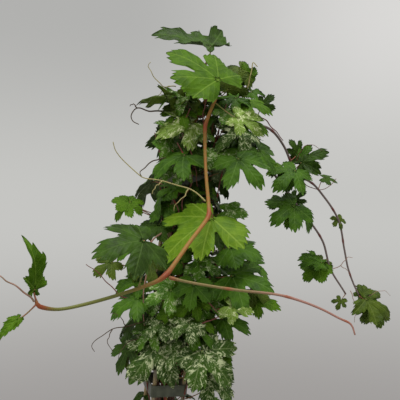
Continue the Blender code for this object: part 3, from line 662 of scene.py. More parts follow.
def blade_material(name, deep, bright, vein, roughness, specular=0.14, cream=None, marbled_above=1.0):
    """Leaf skin: two greens in soft clouds with yellower flecks, pale main veins, side veins that leave them
    in chevrons, a fine net between, and cream marbling where a mixed noise passes `marbled_above`."""
    material, tree, shader = new_material(name, roughness, 1.45, Specular_IOR_Level=specular)
    place = node(tree, "TexCoord", {}, "Object")
    across = node(tree, "Attribute", {}, "Fac", attribute_name="across")
    along = node(tree, "Attribute", {}, "Fac", attribute_name="along")
    clouds = node(tree, "TexNoise", {"Vector": place, "Scale": 70.0, "Detail": 4.0, "Roughness": 0.6})
    cloud_share = node(tree, "MapRange", {0: clouds, 1: 0.35, 2: 0.65}, **SMOOTH)
    green = node(tree, "Mix", {0: cloud_share, 6: deep, 7: bright}, 2, **COLOUR)
    wobble = node(tree, "TexNoise", {"Vector": place, "Scale": 90.0, "Detail": 2.0})
    slanted = node(tree, "Math", {0: across, 1: -SIDE_VEIN_SLANT, 2: along}, operation="MULTIPLY_ADD")
    bent = node(tree, "Math", {0: wobble, 1: 0.07, 2: slanted}, operation="MULTIPLY_ADD")
    phase = node(tree, "Math", {0: bent, 1: SIDE_VEINS}, operation="MULTIPLY")
    chevron = node(tree, "Math", {0: phase, 1: 0.5}, operation="PINGPONG")
    side_vein = node(tree, "MapRange", {0: chevron, 1: 0.08, 2: 0.02}, **SMOOTH)
    pillow = node(tree, "MapRange", {0: chevron, 1: 0.0, 2: 0.45}, **SMOOTH)
    clear = node(tree, "MapRange", {0: along, 1: 0.06, 2: 0.24}, **SMOOTH)
    side_vein = node(tree, "Math", {0: side_vein, 1: clear}, operation="MULTIPLY")
    pillow = node(tree, "Math", {0: pillow, 1: clear}, operation="MULTIPLY")
    main_vein = node(tree, "MapRange", {0: across, 1: 0.016, 2: 0.006}, **SMOOTH)
    cells = node(tree, "TexVoronoi", {"Vector": place, "Scale": 430.0}, "Distance", feature="DISTANCE_TO_EDGE")
    net = node(tree, "MapRange", {0: cells, 1: 0.10, 2: 0.02}, **SMOOTH)
    if cream:
        coarse = node(tree, "TexNoise", {"Vector": place, "Scale": 150.0, "Detail": 3.0, "Distortion": 1.2})
        u = node(tree, "Math", {0: slanted, 1: 13.0}, operation="MULTIPLY")
        v = node(tree, "Math", {0: across, 1: 5.0}, operation="MULTIPLY")
        w = node(tree, "Math", {0: coarse, 1: 5.0}, operation="MULTIPLY")
        streaked = node(tree, "CombineXYZ", {0: u, 1: v, 2: w})
        fine = node(tree, "TexNoise", {"Vector": streaked, "Scale": 1.0, "Detail": 6.0, "Roughness": 0.72,
                                       "Distortion": 0.6})
        coarse_part = node(tree, "Math", {0: coarse, 1: 0.5}, operation="MULTIPLY")
        blotch = node(tree, "Math", {0: fine, 1: 0.85, 2: coarse_part}, operation="MULTIPLY_ADD")
        marble = node(tree, "MapRange", {0: blotch, 1: marbled_above, 2: marbled_above + 0.05}, **SMOOTH)
        green = node(tree, "Mix", {0: marble, 6: green, 7: cream}, 2, **COLOUR)
    for share, lines in ((0.10, net), (0.22, side_vein), (0.45, main_vein)):
        weight = node(tree, "Math", {0: lines, 1: share}, operation="MULTIPLY")
        green = node(tree, "Mix", {0: weight, 6: green, 7: vein}, 2, **COLOUR)
    tree.links.new(green, shader.inputs["Base Color"])
    gloss = node(tree, "Math", {0: clouds, 1: 0.25, 2: roughness - 0.12}, operation="MULTIPLY_ADD")
    tree.links.new(gloss, shader.inputs["Roughness"])
    sunk = node(tree, "Math", {0: main_vein, 1: -1.0, 2: pillow}, operation="MULTIPLY_ADD")
    relief = node(tree, "Math", {0: net, 1: -0.2, 2: sunk}, operation="MULTIPLY_ADD")
    bumps = node(tree, "Bump", {"Height": relief, "Strength": 0.7, "Distance": 0.3 * MM}, "Normal")
    tree.links.new(bumps, shader.inputs["Normal"])
    return material


# upper skin, under skin, material slot
LEAF_SKINS = {
    "young": (blade_material("young_leaf_upper", "#476808", "#5E7C12", "#88A03E", 0.52),
              blade_material("young_leaf_under", "#667E34", "#748C40", "#94A660", 0.65), "young_leaf"),
    "bright": (blade_material("fresh_leaf_upper", "#355405", "#486A0C", "#738E34", 0.55, 0.1),
               blade_material("fresh_leaf_under", "#587030", "#66803C", "#8A9C5C", 0.65), "young_leaf"),
    "dark": (blade_material("mature_leaf_upper", "#2B4A0A", "#426610", "#64823C", 0.47),
             blade_material("mature_leaf_under", "#465E2A", "#546C36", "#768A58", 0.65), "dark_leaf"),
    "deep": (blade_material("old_leaf_upper", "#223608", "#34500E", "#50682E", 0.47),
             blade_material("old_leaf_under", "#3A4C20", "#465A2A", "#64764A", 0.65), "dark_leaf"),
    "olive": (blade_material("olive_leaf_upper", "#34460E", "#4A5C14", "#6C7A3A", 0.52),
              blade_material("olive_leaf_under", "#525C32", "#5E683C", "#7C8458", 0.65), "dark_leaf"),
    "marbled": (
        blade_material("marbled_leaf_upper", "#33580C", "#50791A", "#7C964E", 0.5, 0.14, "#A8B486", 0.725),
        blade_material("marbled_leaf_under", "#50643A", "#5E7246", "#8A9868", 0.65, 0.14, "#A0A880", 0.75),
        "marbled_leaf"),
    "cream": (
        blade_material("cream_leaf_upper", "#223A0A", "#355212", "#84945E", 0.52, 0.14, "#AFB78C", 0.715),
        blade_material("cream_leaf_under", "#506038", "#5E6E44", "#8E9870", 0.65, 0.14, "#A8AE8C", 0.705),
        "marbled_leaf"),
    "pale": (
        blade_material("pale_leaf_upper", "#56701E", "#6F8A34", "#A8B478", 0.52, 0.14, "#BCC492", 0.72),
        blade_material("pale_leaf_under", "#6A7C46", "#788A54", "#A0AA7C", 0.65, 0.14, "#B0B68C", 0.72),
        "marbled_leaf"),
}

stalk_skin, tree, shader = new_material("leaf_stalk_skin", 0.5, 1.45, Specular_IOR_Level=0.3)
place = node(tree, "TexCoord", {}, "Object")
patches = node(tree, "MapRange", {0: node(tree, "TexNoise", {"Vector": place, "Scale": 70.0}), 1: 0.4, 2: 0.65},
               **SMOOTH)
skin = node(tree, "Mix", {0: patches, 6: "#8E5A44", 7: "#6E6E34"}, 2, **COLOUR)
tree.links.new(skin, shader.inputs["Base Color"])
streaks = node(tree, "TexNoise", {"Vector": place, "Scale": 2600.0, "Detail": 3.0})
tree.links.new(node(tree, "Bump", {"Height": streaks, "Strength": 0.5, "Distance": 0.1 * MM}, "Normal"),
               shader.inputs["Normal"])

FINE = (241, 12)
MEDIUM = (161, 9)
COARSE = (109, 7)
SOFT = {"fold": 0.10, "arch": 0.35, "droop": 0.5, "ripple": 0.035, "curl": 0.35, "twist": 0.0, "pucker": 0.012}
FLAT = {"fold": 0.06, "arch": 0.22, "droop": 0.3, "ripple": 0.03, "curl": 0.25, "twist": 0.0, "pucker": 0.01}
WAVY = {"fold": 0.14, "arch": 0.35, "droop": 0.4, "ripple": 0.09, "curl": 0.5, "twist": 0.25, "pucker": 0.02}
CRUMPLED = {"fold": 0.3, "arch": 0.5, "droop": 0.7, "ripple": 0.14, "curl": 0.9, "twist": 0.4, "pucker": 0.03}
CUPPED = {"fold": 0.12, "arch": 0.1, "droop": -0.3, "ripple": 0.08, "curl": 0.4, "twist": -0.1, "pucker": 0.02}
CURLED = {"fold": 0.3, "arch": 0.4, "droop": 0.1, "ripple": 0.08, "curl": 0.6, "twist": 0.3, "pucker": 0.02}


def stalk_line(vine, junction, normal, along, rise):
    """A stalk's curve from the side of the nearest stretch of its vine to the blade's junction."""
    line = vine_lines[vine]
    aim = junction - np.array((0.0, 0.0, rise))
    nearest = line[np.argmin(np.linalg.norm(line[:, :3] - aim, axis=1))]
    toward = junction - nearest[:3]
    reach = np.linalg.norm(toward)
    foot = nearest[:3] + toward / reach * nearest[3] * 0.6
    bend = junction - (normal * 0.25 + along * 0.15) * reach
    t = np.linspace(0.0, 1.0, max(8, int(reach / 2.5)))[:, None]
    return (1 - t) ** 2 * foot + 2 * t * (1 - t) * bend + t * t * junction


def leaf(name, vine, junction, tip, face, kind, rise=14.0, shape=FIVE_LOBES, width=1.0, bend=SOFT, detail=FINE,
         replaces=None):
    """One leaf: blade, rim, underside and stalk in one piece."""
    upper, under, slot = LEAF_SKINS[kind]
    seed = sum(ord(letter) * (place + 1) for place, letter in enumerate(name))
    points, top_faces, low_faces, measure, size = leaf_points(
        junction, tip, face, shape, width, bend, seed, detail)
    junction = np.asarray(junction, dtype=float)
    along = (np.asarray(tip, dtype=float) - junction) / size
    normal = np.asarray(face, dtype=float)
    normal = normal / np.linalg.norm(normal)
    stalk = stalk_line(vine, junction - normal * BLADE_THICKNESS, normal, along, rise)
    t = np.linspace(0.0, 1.0, len(stalk))
    thickness = 0.6 + 0.25 * np.exp(-(t / 0.08) ** 2) + 0.12 * np.exp(-((1 - t) / 0.06) ** 2)
    thickness = thickness * (0.7 + 0.3 * min(size / 45.0, 1.3))
    stalk_points, stalk_faces = tube(stalk, thickness, 8)
    faces = top_faces + low_faces + [[i + len(points) for i in face] for face in stalk_faces]
    made = add_piece(name, (np.vstack([points, stalk_points]) + crown) * MM, faces, [upper, under, stalk_skin])
    made.data.polygons.foreach_set(
        "material_index", [0] * len(top_faces) + [1] * len(low_faces) + [2] * len(stalk_faces))
    for attribute, values in zip(("across", "along"), measure):
        add_attribute(made, attribute, np.concatenate([values, values, np.zeros(len(stalk_points))]))
    if replaces:
        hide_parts(replaces)
    return made


FRONT = (0.0, -1.0, 0.3)
FRONT_UP = (0.0, -0.8, 0.6)
LEFT = (-0.9, -0.5, 0.3)
LEFT_UP = (-0.5, -0.7, 0.5)
RIGHT = (0.8, -0.6, 0.3)
RIGHT_UP = (0.5, -0.7, 0.5)
UP = (0.1, -0.55, 0.83)

# name: vine, where stalk meets blade, tip, way the upper side faces, kind, rise of the stalk, more
LEAVES = {
    "leaf_top": ("vine_top", (57, -16, 443), (-6, -20, 456), UP, "deep", 16,
                 {"shape": TOP_LEAF, "bend": CUPPED}),
    "leaf_crown_bright": ("vine_runner", (64, -64, 395), (12, -60, 421), (0.27, -0.75, 0.6), "bright", 8,
                          {"shape": CROWN_LEAF, "bend": FLAT}),
    "leaf_front_middle": ("vine_runner", (57, -72, 262), (9, -82, 223), (-0.35, -0.75, 0.55), "young", -6,
                          {"shape": FRONT_LEAF, "bend": FLAT}),
    "leaf_near_dark": ("vine_runner", (3, -162, 248), (-32, -182, 239), FRONT_UP, "deep", 30, {}),
    "leaf_young_right": ("vine_runner", (83, -62, 359), (108, -72, 340), FRONT, "pale", -6,
                         {"width": 0.66, "bend": WAVY, "shape": DEEP_LOBES}),
    "leaf_glossy": ("vine_far_long", (84, -52, 320), (106, -62, 287), FRONT_UP, "dark", 14,
                    {"shape": DEEP_LOBES}),
    "leaf_left_marbled": ("vine_runner", (38, -32, 359), (3, -46, 342), FRONT, "pale", 20, {"bend": WAVY}),
    "leaf_left_dark": ("vine_top", (30, -47, 324), (0, -57, 300), LEFT_UP, "dark", 14, {}),
    "leaf_left_wrinkled": ("vine_top", (30, -32, 386), (2, -44, 373), FRONT_UP, "marbled", 10,
                           {"width": 0.6, "bend": CRUMPLED}),
    "leaf_left_smooth": ("vine_top", (8, -30, 288), (2, -38, 264), LEFT, "dark", 14, {"shape": BROAD}),
    "leaf_round_marbled": ("vine_runner", (72, -32, 268), (95, -38, 264), FRONT_UP, "marbled", 14,
                           {"shape": BROAD}),
    "leaf_small_bright": ("vine_top", (-28, -42, 273), (-39, -48, 257), LEFT_UP, "bright", 20,
                          {"shape": THREE_LOBES}),
    "leaf_right_high": ("vine_runner", (76, -46, 231), (108, -56, 221), RIGHT_UP, "dark", 14, {"shape": BROAD}),
    "leaf_right_middle": ("vine_runner", (78, -48, 203), (121, -58, 190), RIGHT_UP, "dark", 14, {}),
    "leaf_right_orange": ("vine_far_short", (102, -38, 177), (127, -44, 169), FRONT_UP, "bright", 14,
                          {"shape": THREE_LOBES}),
    "leaf_right_low": ("vine_runner", (69, -36, 157), (99, -42, 146), RIGHT_UP, "dark", 10, {}),
    "leaf_right_pale": ("vine_far_long", (75, -66, 177), (97, -70, 170), FRONT_UP, "pale", 22, {"bend": WAVY}),
    "leaf_left_mottled": ("vine_runner", (17, -54, 190), (-8, -64, 176), FRONT_UP, "marbled", 16, {}),
    "leaf_middle_green": ("vine_runner", (40, -58, 196), (34, -68, 170), FRONT_UP, "dark", 16, {}),
    "leaf_left_pointed": ("vine_top", (-17, -44, 180), (-44, -54, 161), LEFT_UP, "dark", 14,
                          {"shape": THREE_LOBES}),
    "leaf_cream_left": ("vine_runner", (6, -44, 135), (-22, -58, 97), FRONT_UP, "cream", 16, {"bend": WAVY}),
    "leaf_cream_right": ("vine_runner", (48, -64, 133), (78, -76, 101), FRONT_UP, "cream", 34, {"bend": WAVY}),
    "leaf_cream_low": ("vine_runner", (56, -34, 97), (80, -46, 74), RIGHT_UP, "cream", 12, {}),
    "leaf_cream_curl": ("vine_runner", (36, -62, 160), (15, -68, 143), UP, "cream", 18, {"bend": CRUMPLED}),
    "leaf_hanging_olive": ("vine_top", (-22, -34, 131), (-28, -42, 102), LEFT, "olive", 14,
                           {"width": 0.6, "bend": WAVY}),
    "leaf_top_right": ("vine_back", (77, -2, 400), (97, -8, 417), RIGHT_UP, "olive", 14, {}),
    "leaf_right_green": ("vine_far_long", (94, -16, 384), (122, -24, 368), RIGHT_UP, "bright", 14, {}),
    "leaf_right_mass": ("vine_far_long", (90, -34, 350), (62, -46, 331), FRONT_UP, "cream", 10,
                        {"bend": CRUMPLED}),
    "leaf_far_high": ("vine_far_long", (168, 52, 324), (200, 46, 337), FRONT_UP, "deep", 6, {"bend": WAVY}),
    "leaf_far_olive": ("vine_far_short", (156, 28, 313), (130, 18, 288), FRONT_UP, "dark", 24,
                       {"shape": DEEP_LOBES}),
    "leaf_far_middle": ("vine_far_short", (156, 35, 272), (124, 27, 248), FRONT_UP, "dark", 0, {}),
    "leaf_far_hanging": ("vine_far_short", (170, 62, 268), (181, 58, 238), RIGHT_UP, "dark", 0, {}),
    "leaf_far_low": ("vine_far_short", (199, 78, 200), (171, 72, 199), FRONT_UP, "dark", 0,
                     {"width": 0.55, "bend": WAVY}),
    "leaf_far_end": ("vine_far_long", (262, 98, 150), (297, 104, 126), RIGHT_UP, "olive", 4,
                     {"shape": DEEP_LOBES, "bend": WAVY}),
    "leaf_runner_tip": ("vine_runner", (-67, -201, 218), (-71, -203, 257), RIGHT, "bright", 4,
                        {"width": 0.6, "bend": CURLED, "shape": TIP_LEAF}),
    "leaf_runner_low": ("vine_runner", (-75, -208, 200), (-87, -215, 186), FRONT_UP, "bright", 0,
                        {"width": 0.8, "bend": CURLED, "shape": TIP_LEAF}),
}
for leaf_name, (vine, junction, tip, face, kind, rise, more) in LEAVES.items():
    leaf(f"{leaf_name}_blade", vine, junction, tip, face, kind, rise, replaces=leaf_name, **more)

leaf("curled_dry_blade", "vine_top", (30, -34, 382), (-19, -42, 376), FRONT_UP, "olive", 10.0, THREE_LOBES,
     0.34, CRUMPLED, MEDIUM)

# The back of the plant: leaves in a rising spiral, each hanging outward from its stalk.
BACK_SWING = (35.0, 95.0, 150.0, 82.0, 120.0)
for i in range(10):
    a = math.radians(BACK_SWING[i % len(BACK_SWING)])
    outward = np.array((math.cos(a), math.sin(a), 0.0))
    z = 90.0 + 30.0 * i
    junction = np.array((z * RACK_SLOPE, 0.0, z)) + outward * 44.0
    hang = outward * 0.45 + (0.0, 0.0, -0.9)
    tip = junction + 44.0 * hang / np.linalg.norm(hang)
    kind = "marbled" if i % 3 == 1 else "dark"
    vine = "vine_far_short" if a < math.radians(50.0) else "vine_back"
    leaf(f"back_blade_{i + 1:02d}", vine, junction, tip, outward + (0.0, 0.0, 0.5), kind,
         replaces=f"leaf_back_{i + 1:02d}")

# ---- side leaves ----
# The lesser leaves on side shoots: loose clusters along the two hanging vines, and smaller, older or
# half-hidden blades down both flanks and round the foot of the plant.
SHAPES = (FIVE_LOBES, DEEP_LOBES, THREE_LOBES, BROAD)
# vine, where stalk meets blade, tip, kind; the blade faces the way it leans, and a little up
SIDE_LEAVES = {
    "far_shoot": [
        ("vine_far_long", (165, 62, 338), (156, 60, 354), "deep"),
        ("vine_far_long", (176, 66, 325), (196, 64, 319), "olive"),
        ("vine_far_long", (168, 58, 330), (182, 54, 346), "dark"),
        ("vine_far_short", (156, 46, 312), (147, 42, 289), "dark"),
        ("vine_far_short", (142, 40, 317), (122, 36, 306), "bright"),
        ("vine_far_short", (163, 66, 279), (177, 66, 291), "deep"),
        ("vine_far_short", (156, 60, 264), (152, 58, 242), "bright"),
        ("vine_far_short", (148, 58, 279), (130, 54, 270), "dark"),
        ("vine_far_long", (204, 80, 307), (220, 80, 302), "deep"),
        ("vine_far_long", (223, 88, 255), (228, 88, 240), "olive"),
        ("vine_far_short", (195, 90, 204), (172, 86, 206), "dark"),
        ("vine_far_short", (198, 90, 195), (177, 88, 173), "bright"),
        ("vine_far_short", (203, 91, 199), (188, 91, 183), "olive"),
        ("vine_far_short", (230, 100, 148), (224, 100, 135), "olive"),
        ("vine_far_long", (256, 104, 153), (274, 106, 161), "olive"),
        ("vine_far_long", (264, 104, 145), (284, 108, 142), "bright"),
        ("vine_far_long", (273, 106, 131), (299, 110, 120), "olive"),
        ("vine_far_long", (264, 104, 134), (258, 104, 117), "olive"),
        ("vine_far_long", (278, 106, 137), (291, 108, 117), "dark"),
    ],
    "right_shoot": [
        ("vine_far_long", (91, -8, 368), (119, -14, 348), "bright"),
        ("vine_far_long", (84, -20, 387), (60, -26, 371), "dark"),
        ("vine_far_long", (109, -10, 333), (127, -16, 308), "dark"),
        ("vine_back", (82, 8, 406), (99, 6, 394), "olive"),
        ("vine_far_long", (104, 10, 400), (122, 8, 392), "dark"),
        ("vine_far_long", (73, -34, 370), (88, -42, 350), "marbled"),
        ("vine_far_long", (115, 4, 383), (128, 4, 397), "deep"),
        ("vine_far_long", (69, -36, 330), (50, -44, 310), "marbled"),
        ("vine_far_long", (97, 4, 345), (127, 2, 331), "deep"),
        ("vine_back", (91, 10, 427), (104, 8, 402), "olive"),
        ("vine_back", (100, 12, 416), (94, 12, 436), "bright"),
    ],
    "left_shoot": [
        ("vine_top", (23, -26, 379), (3, -30, 388), "olive"),
        ("vine_top", (27, -30, 370), (9, -40, 353), "bright"),
        ("vine_top", (21, -34, 353), (0, -40, 359), "marbled"),
        ("vine_top", (17, -34, 330), (-2, -40, 339), "marbled"),
        ("vine_top", (26, -38, 308), (4, -44, 299), "marbled"),
        ("vine_top", (21, -34, 293), (0, -40, 283), "dark"),
        ("vine_top", (13, -30, 273), (-5, -34, 256), "dark"),
        ("vine_top", (4, -30, 254), (-12, -36, 234), "deep"),
        ("vine_top", (21, -30, 267), (33, -38, 243), "dark"),
        ("vine_top", (-6, -30, 215), (-26, -38, 194), "olive"),
        ("vine_top", (-14, -34, 195), (-40, -42, 185), "dark"),
        ("vine_top", (-27, -42, 276), (-45, -44, 279), "bright"),
        ("vine_top", (-25, -42, 277), (-12, -44, 264), "bright"),
        ("vine_top", (-44, -36, 215), (-63, -40, 202), "olive"),
        ("vine_top", (-5, -36, 176), (-23, -44, 160), "marbled"),
        ("vine_top", (-8, -34, 158), (-21, -42, 141), "deep"),
        ("vine_top", (-2, -44, 148), (-19, -50, 128), "marbled"),
        ("vine_top", (-26, -40, 130), (-40, -44, 103), "deep"),
        ("vine_top", (-20, -42, 232), (-40, -46, 219), "dark"),
    ],
    "middle_shoot": [
        ("vine_runner", (46, -34, 215), (69, -44, 200), "marbled"),
        ("vine_runner", (42, -50, 179), (22, -58, 163), "bright"),
        ("vine_runner", (60, -44, 196), (84, -54, 178), "dark"),
        ("vine_runner", (27, -34, 215), (9, -38, 230), "dark"),
        ("vine_runner", (63, -30, 246), (88, -38, 230), "deep"),
        ("vine_runner", (42, -46, 162), (61, -54, 147), "bright"),
        ("vine_runner", (52, -44, 178), (74, -50, 161), "marbled"),
        ("vine_runner", (24, -46, 172), (6, -54, 155), "bright"),
        ("vine_far_long", (96, -30, 215), (115, -36, 199), "dark"),
        ("vine_far_long", (99, -36, 187), (118, -42, 173), "olive"),
    ],
    "low_shoot": [
        ("vine_top", (8, -52, 158), (-9, -60, 142), "cream"),
        ("vine_runner", (42, -54, 151), (62, -62, 135), "dark"),
        ("vine_top", (26, -58, 132), (11, -64, 112), "cream"),
        ("vine_runner", (60, -50, 128), (79, -58, 114), "bright"),
        ("vine_top", (-8, -44, 118), (-27, -50, 106), "cream"),
        ("vine_runner", (44, -48, 122), (33, -56, 106), "marbled"),
        ("vine_runner", (52, -36, 70), (67, -42, 54), "marbled"),
    ],
}
for group, places in SIDE_LEAVES.items():
    for i, (vine, junction, tip, kind) in enumerate(places):
        lean = np.subtract(tip, junction) / np.linalg.norm(np.subtract(tip, junction))
        face = (lean[0] * 0.4, -0.8, 0.5 + 0.2 * (i % 3))
        rise = 4.0 if group == "far_shoot" else 14.0
        leaf(f"{group}_blade_{i + 1:02d}", vine, junction, tip, face, kind, rise, SHAPES[i % 4], 1.0,
             (SOFT, WAVY, FLAT)[i % 3], MEDIUM)

# ---- inner foliage ----
# The smaller and older leaves that fill the plant between the large ones, on short stalks all round.
FILL_LEAVES = 170
FILL_LOW, FILL_HIGH = 22.0, 400.0
BARE_LOW, BARE_HIGH = 34.0, 108.0      # the front is bare at this height, where the lower band shows
FILL_KINDS = ("deep", "dark", "marbled", "deep", "olive", "dark", "bright", "cream", "deep")
GOLDEN_TURN = 137.5        # degrees round the plant from one leaf or side stem to the next
WAIST_LEVEL, WAIST_SPREAD = 282.0, 26.0
TAPER_FROM = 370.0
rng = np.random.default_rng(23)
for i in range(FILL_LEAVES):
    share = (i + 0.5) / FILL_LEAVES
    z = FILL_LOW + (FILL_HIGH - FILL_LOW) * share
    a = math.radians(GOLDEN_TURN * i) + rng.normal(0.0, 0.2)
    waist = 1.0 - 0.25 * math.exp(-((z - WAIST_LEVEL) / WAIST_SPREAD) ** 2)
    waist -= 0.35 * max(0.0, (z - TAPER_FROM) / 40.0)
    out = np.array((math.cos(a), math.sin(a), 0.0))
    reach = rng.uniform(14.0, 36.0) * waist
    junction = np.array((z * RACK_SLOPE + 14.0 * waist, 0.0, z)) + out * np.array((reach, reach * 0.9, 0.0))
    way = out + np.array((rng.normal(0.0, 0.4), rng.normal(0.0, 0.4), rng.uniform(-1.5, 0.1)))
    size = rng.uniform(16.0, 33.0)
    tip = junction + size * way / np.linalg.norm(way)
    face = out + np.array((rng.normal(0.0, 0.4), rng.normal(0.0, 0.4), rng.uniform(0.4, 1.4)))
    shape = SHAPES[int(rng.integers(0, 4))]
    if BARE_LOW < z < BARE_HIGH and out[1] < 0.2:
        continue
    vine = ("vine_back", "vine_top", "vine_runner", "vine_far_long", "vine_far_short")[i % 5]
    leaf(f"inner_blade_{i + 1:03d}", vine, junction, tip, face, FILL_KINDS[i % 9], 16.0, shape, 1.0,
         (SOFT, WAVY, CRUMPLED, SOFT)[i % 4], COARSE)

# ---- side stems ----
# Older side shoots that wander up the outside of the plant: thin, maroon where the light reaches them and
# reddest at their swollen nodes.
SIDE_STEMS = 20
SIDE_STEM_KNOTS = 7
WIRE_SIDES = 8
rng = np.random.default_rng(41)
for i in range(SIDE_STEMS):
    z = np.linspace(0.0, 1.0, SIDE_STEM_KNOTS) * rng.uniform(90.0, 150.0) + 20.0 + 250.0 * i / SIDE_STEMS
    a = math.radians(200.0 + GOLDEN_TURN * i) + np.cumsum(rng.normal(0.0, 0.22, SIDE_STEM_KNOTS))
    out = np.linspace(14.0, rng.uniform(34.0, 46.0), SIDE_STEM_KNOTS) + rng.normal(0.0, 2.5, SIDE_STEM_KNOTS)
    line = smooth_line(np.stack([z * RACK_SLOPE + 6.0 + out * np.cos(a), out * np.sin(a), z], -1), 2.0)
    run = np.linspace(0.0, 1.0, len(line))
    joints = np.exp(-((run * 6.0) % 1.0 - 0.5) ** 2 / 0.006)
    points, faces = tube(line + crown, 0.95 - 0.35 * run + 0.3 * joints, WIRE_SIDES)
    side_stem = add_piece(f"side_stem_{i + 1:02d}", points * MM, faces, [TENDRIL_SKINS["maroon"]])
    add_attribute(side_stem, "node", np.repeat(np.concatenate([[0, 0], joints, [0, 0]]), WIRE_SIDES))

# ---- tendrils and bare twigs ----
# Wiry climbing tendrils that fork once or twice, and thin side stems whose leaves have dropped: tan or pink
# while alive, dark and kinked once dry. Each line gives (x, y, z) along it, thick end first.
TENDRILS = {
    "tendril_left": ("tan", 0.75, [
        [(51, -78, 278), (35, -72, 290), (10, -66, 297), (-6, -64, 300), (-13, -66, 304), (-26, -70, 315),
         (-33, -74, 325), (-36, -76, 334)],
        [(35, -72, 290), (31, -76, 282), (24, -78, 276), (21, -76, 269)],
        [(10, -66, 297), (4, -70, 292), (0, -72, 285)],
    ]),
    "tendril_high": ("tan", 0.6, [
        [(21, -34, 396), (7, -38, 396), (-5, -42, 411), (-6, -42, 415), (-4, -42, 419)],
        [(14, -36, 396), (6, -40, 388), (2, -42, 382)],
    ]),
    "tendril_runner_end": ("pink", 0.7, [
        [(-67, -203, 210), (-71, -206, 216), (-80, -208, 223), (-87, -210, 228), (-94, -210, 231)],
    ]),
    "claw": ("dry", 0.9, [
        [(8, -34, 370), (-8, -40, 370), (-18, -42, 372), (-24, -42, 365), (-22, -42, 359), (-16, -42, 356)],
        [(-18, -42, 372), (-21, -43, 376), (-25, -44, 374)],
    ]),
    "dry_arm": ("dry", 0.8, [
        [(14, -38, 322), (0, -44, 319), (-9, -46, 312), (-14, -46, 307), (-12, -45, 302)],
    ]),
    "dry_tendril_low": ("dry", 0.6, [
        [(-8, -40, 156), (-28, -50, 153), (-41, -54, 151), (-54, -56, 143), (-60, -56, 136), (-58, -55, 130)],
        [(-41, -54, 151), (-45, -56, 139), (-40, -56, 131)],
        [(-28, -50, 153), (-33, -54, 164), (-41, -56, 168)],
    ]),
    "dry_tendril_foot": ("dry", 0.55, [
        [(-8, -42, 140), (-22, -50, 139), (-31, -52, 132), (-35, -52, 122)],
    ]),
    "twig_left": ("maroon", 0.7, [
        [(-14, -36, 176), (-33, -44, 182), (-44, -46, 193), (-56, -48, 206), (-68, -48, 215)],
    ]),
    "stem_hanging_left": ("pink", 1.0, [
        [(8, -34, 246), (-3, -48, 236), (-6, -52, 212), (-10, -50, 187), (-11, -46, 169), (-10, -38, 148)],
    ]),
    "stem_low_right": ("maroon", 0.9, [
        [(28, -48, 150), (39, -58, 154), (51, -62, 160), (67, -62, 167), (76, -60, 169)],
        [(46, -56, 183), (53, -62, 181), (63, -64, 170)],
    ]),
    "shoot_top_right": ("tan", 0.9, [
        [(84, 4, 388), (92, 4, 396), (98, 2, 403), (101, 0, 413), (103, 0, 425), (105, 0, 430), (109, 0, 426)],
    ]),
    "twig_right": ("maroon", 0.8, [
        [(100, 2, 372), (115, 4, 370), (124, 6, 362), (132, 8, 354), (139, 10, 346)],
    ]),
    "stem_beside_runner": ("maroon", 0.8, [
        [(54, -44, 384), (51, -42, 374), (49, -42, 364), (50, -44, 354)],
        [(30, -34, 336), (36, -40, 330), (39, -44, 319), (42, -44, 307), (43, -38, 293)],
    ]),
    "tendril_far_low": ("pink", 0.6, [
        [(213, 90, 189), (225, 86, 195), (233, 84, 205), (240, 84, 206)],
        [(225, 86, 195), (233, 82, 190), (236, 82, 184)],
    ]),
    "tendril_far_high": ("maroon", 0.6, [
        [(166, 60, 310), (180, 66, 296), (196, 70, 292), (210, 72, 298), (216, 72, 306)],
        [(162, 52, 326), (169, 46, 341), (179, 44, 345), (191, 44, 338)],
    ]),
    "tendril_far_end": ("pink", 0.5, [
        [(243, 102, 160), (249, 98, 140), (247, 98, 120)],
        [(262, 104, 148), (276, 102, 158), (288, 102, 160), (295, 102, 154)],
    ]),
}
FORK_SHARE = 0.8           # a fork's thickness next to its main line's
TENDRIL_WANDER = 0.4
for tendril_name, (kind, thick, branches) in TENDRILS.items():
    all_points = []
    all_faces = []
    start = 0
    for k, knots in enumerate(branches):
        line = smooth_line(knots, 1.5)
        share = np.linspace(0.0, 1.0, len(line))
        radii = thick * (1.0 if k == 0 else FORK_SHARE) * (1.0 - 0.5 * share)
        wander = np.column_stack([np.sin(share * 19.0 + k), np.cos(share * 23.0), np.sin(share * 17.0)])
        line = line + wander * TENDRIL_WANDER
        points, faces = tube(line + crown, radii, WIRE_SIDES)
        all_points.append(points)
        all_faces += [[i + start for i in face] for face in faces]
        start += len(points)
    made = add_piece(tendril_name, np.vstack(all_points) * MM, all_faces, [TENDRIL_SKINS[kind]])
    add_attribute(made, "node", np.zeros(len(made.data.vertices)))

# ---- floor, light and camera ----
# A round pale tabletop, a soft light from overhead and in front, and a pale-grey room with painted shade and
# painted light on its wall.
FLOOR_RADIUS = 0.42
FLOOR_SIDES = 96
floor_turn = np.arange(FLOOR_SIDES) * 2.0 * math.pi / FLOOR_SIDES
floor_points = FLOOR_RADIUS * np.stack([np.cos(floor_turn), np.sin(floor_turn), np.zeros(FLOOR_SIDES)], -1)
floor_mesh = bpy.data.meshes.new("floor")
floor_mesh.from_pydata(floor_points.tolist(), [], [list(range(FLOOR_SIDES))])
floor = bpy.data.objects.new("floor", floor_mesh)
bpy.context.scene.collection.objects.link(floor)
plain, tree, shader = new_material("plain_pale_floor", 0.8)
shader.inputs["Base Color"].default_value = linear("#C9C8C4")
floor_mesh.materials.append(plain)

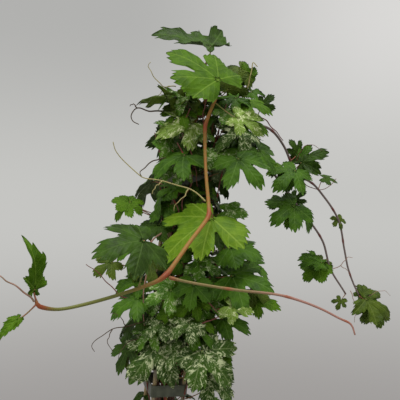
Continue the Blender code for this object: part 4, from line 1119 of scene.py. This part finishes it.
world = bpy.data.worlds.new("room")
bpy.context.scene.world = world
world.use_nodes = True
tree = world.node_tree
background = tree.nodes["Background"]
# Painted shade and painted light on the wall: it darkens towards the floor, and high up it brightens from left
# to right.
direction = node(tree, "TexCoord", {}, "Generated")
upward = node(tree, "SeparateXYZ", {0: direction}, "Z")
low_wall = node(tree, "MapRange", {0: upward, 1: -0.42, 2: -0.04}, **SMOOTH)
high_wall = node(tree, "MapRange", {0: upward, 1: 0.0, 2: 0.36}, **SMOOTH)
sideways = node(tree, "SeparateXYZ", {0: direction}, "X")
rightward = node(tree, "MapRange", {0: sideways, 1: -0.16, 2: 0.4}, **SMOOTH)
wall = node(tree, "Mix", {0: low_wall, 6: "#9E9B99", 7: "#C5C5C2"}, 2, **COLOUR)
top_wall = node(tree, "Mix", {0: rightward, 6: "#B1B1AF", 7: "#DAD9D7"}, 2, **COLOUR)
wall = node(tree, "Mix", {0: high_wall, 6: wall, 7: top_wall}, 2, **COLOUR)
tree.links.new(wall, background.inputs["Color"])
background.inputs["Strength"].default_value = 1.0


def area_light(name, place, target, size, watts):
    """A round soft light of `size` metres at a place, aimed at a target."""
    light = bpy.data.lights.new(name, "AREA")
    light.shape = "DISK"
    light.size = size
    light.energy = watts
    made = bpy.data.objects.new(name, light)
    made.location = place
    made.rotation_euler = (Vector(target) - Vector(place)).to_track_quat("-Z", "Y").to_euler()
    bpy.context.scene.collection.objects.link(made)


area_light("overhead", (0.1, -0.5, 1.9), (0.05, 0.0, 0.35), 1.2, 24.0)
area_light("front_fill", (-0.9, -1.5, 1.0), (0.05, 0.0, 0.35), 1.0, 6.0)

CAMERA_PLACE = (0.046, -0.531, 0.279 + soil_level * MM)
camera_data = bpy.data.cameras.new("camera")
camera_data.angle = math.radians(45.0)
camera_data.clip_start = 0.02
camera = bpy.data.objects.new("camera", camera_data)
camera.location = CAMERA_PLACE
camera.rotation_euler = (math.radians(90.0), 0.0, 0.0)
bpy.context.scene.collection.objects.link(camera)
bpy.context.scene.camera = camera
bpy.context.scene.view_settings.view_transform = "Standard"
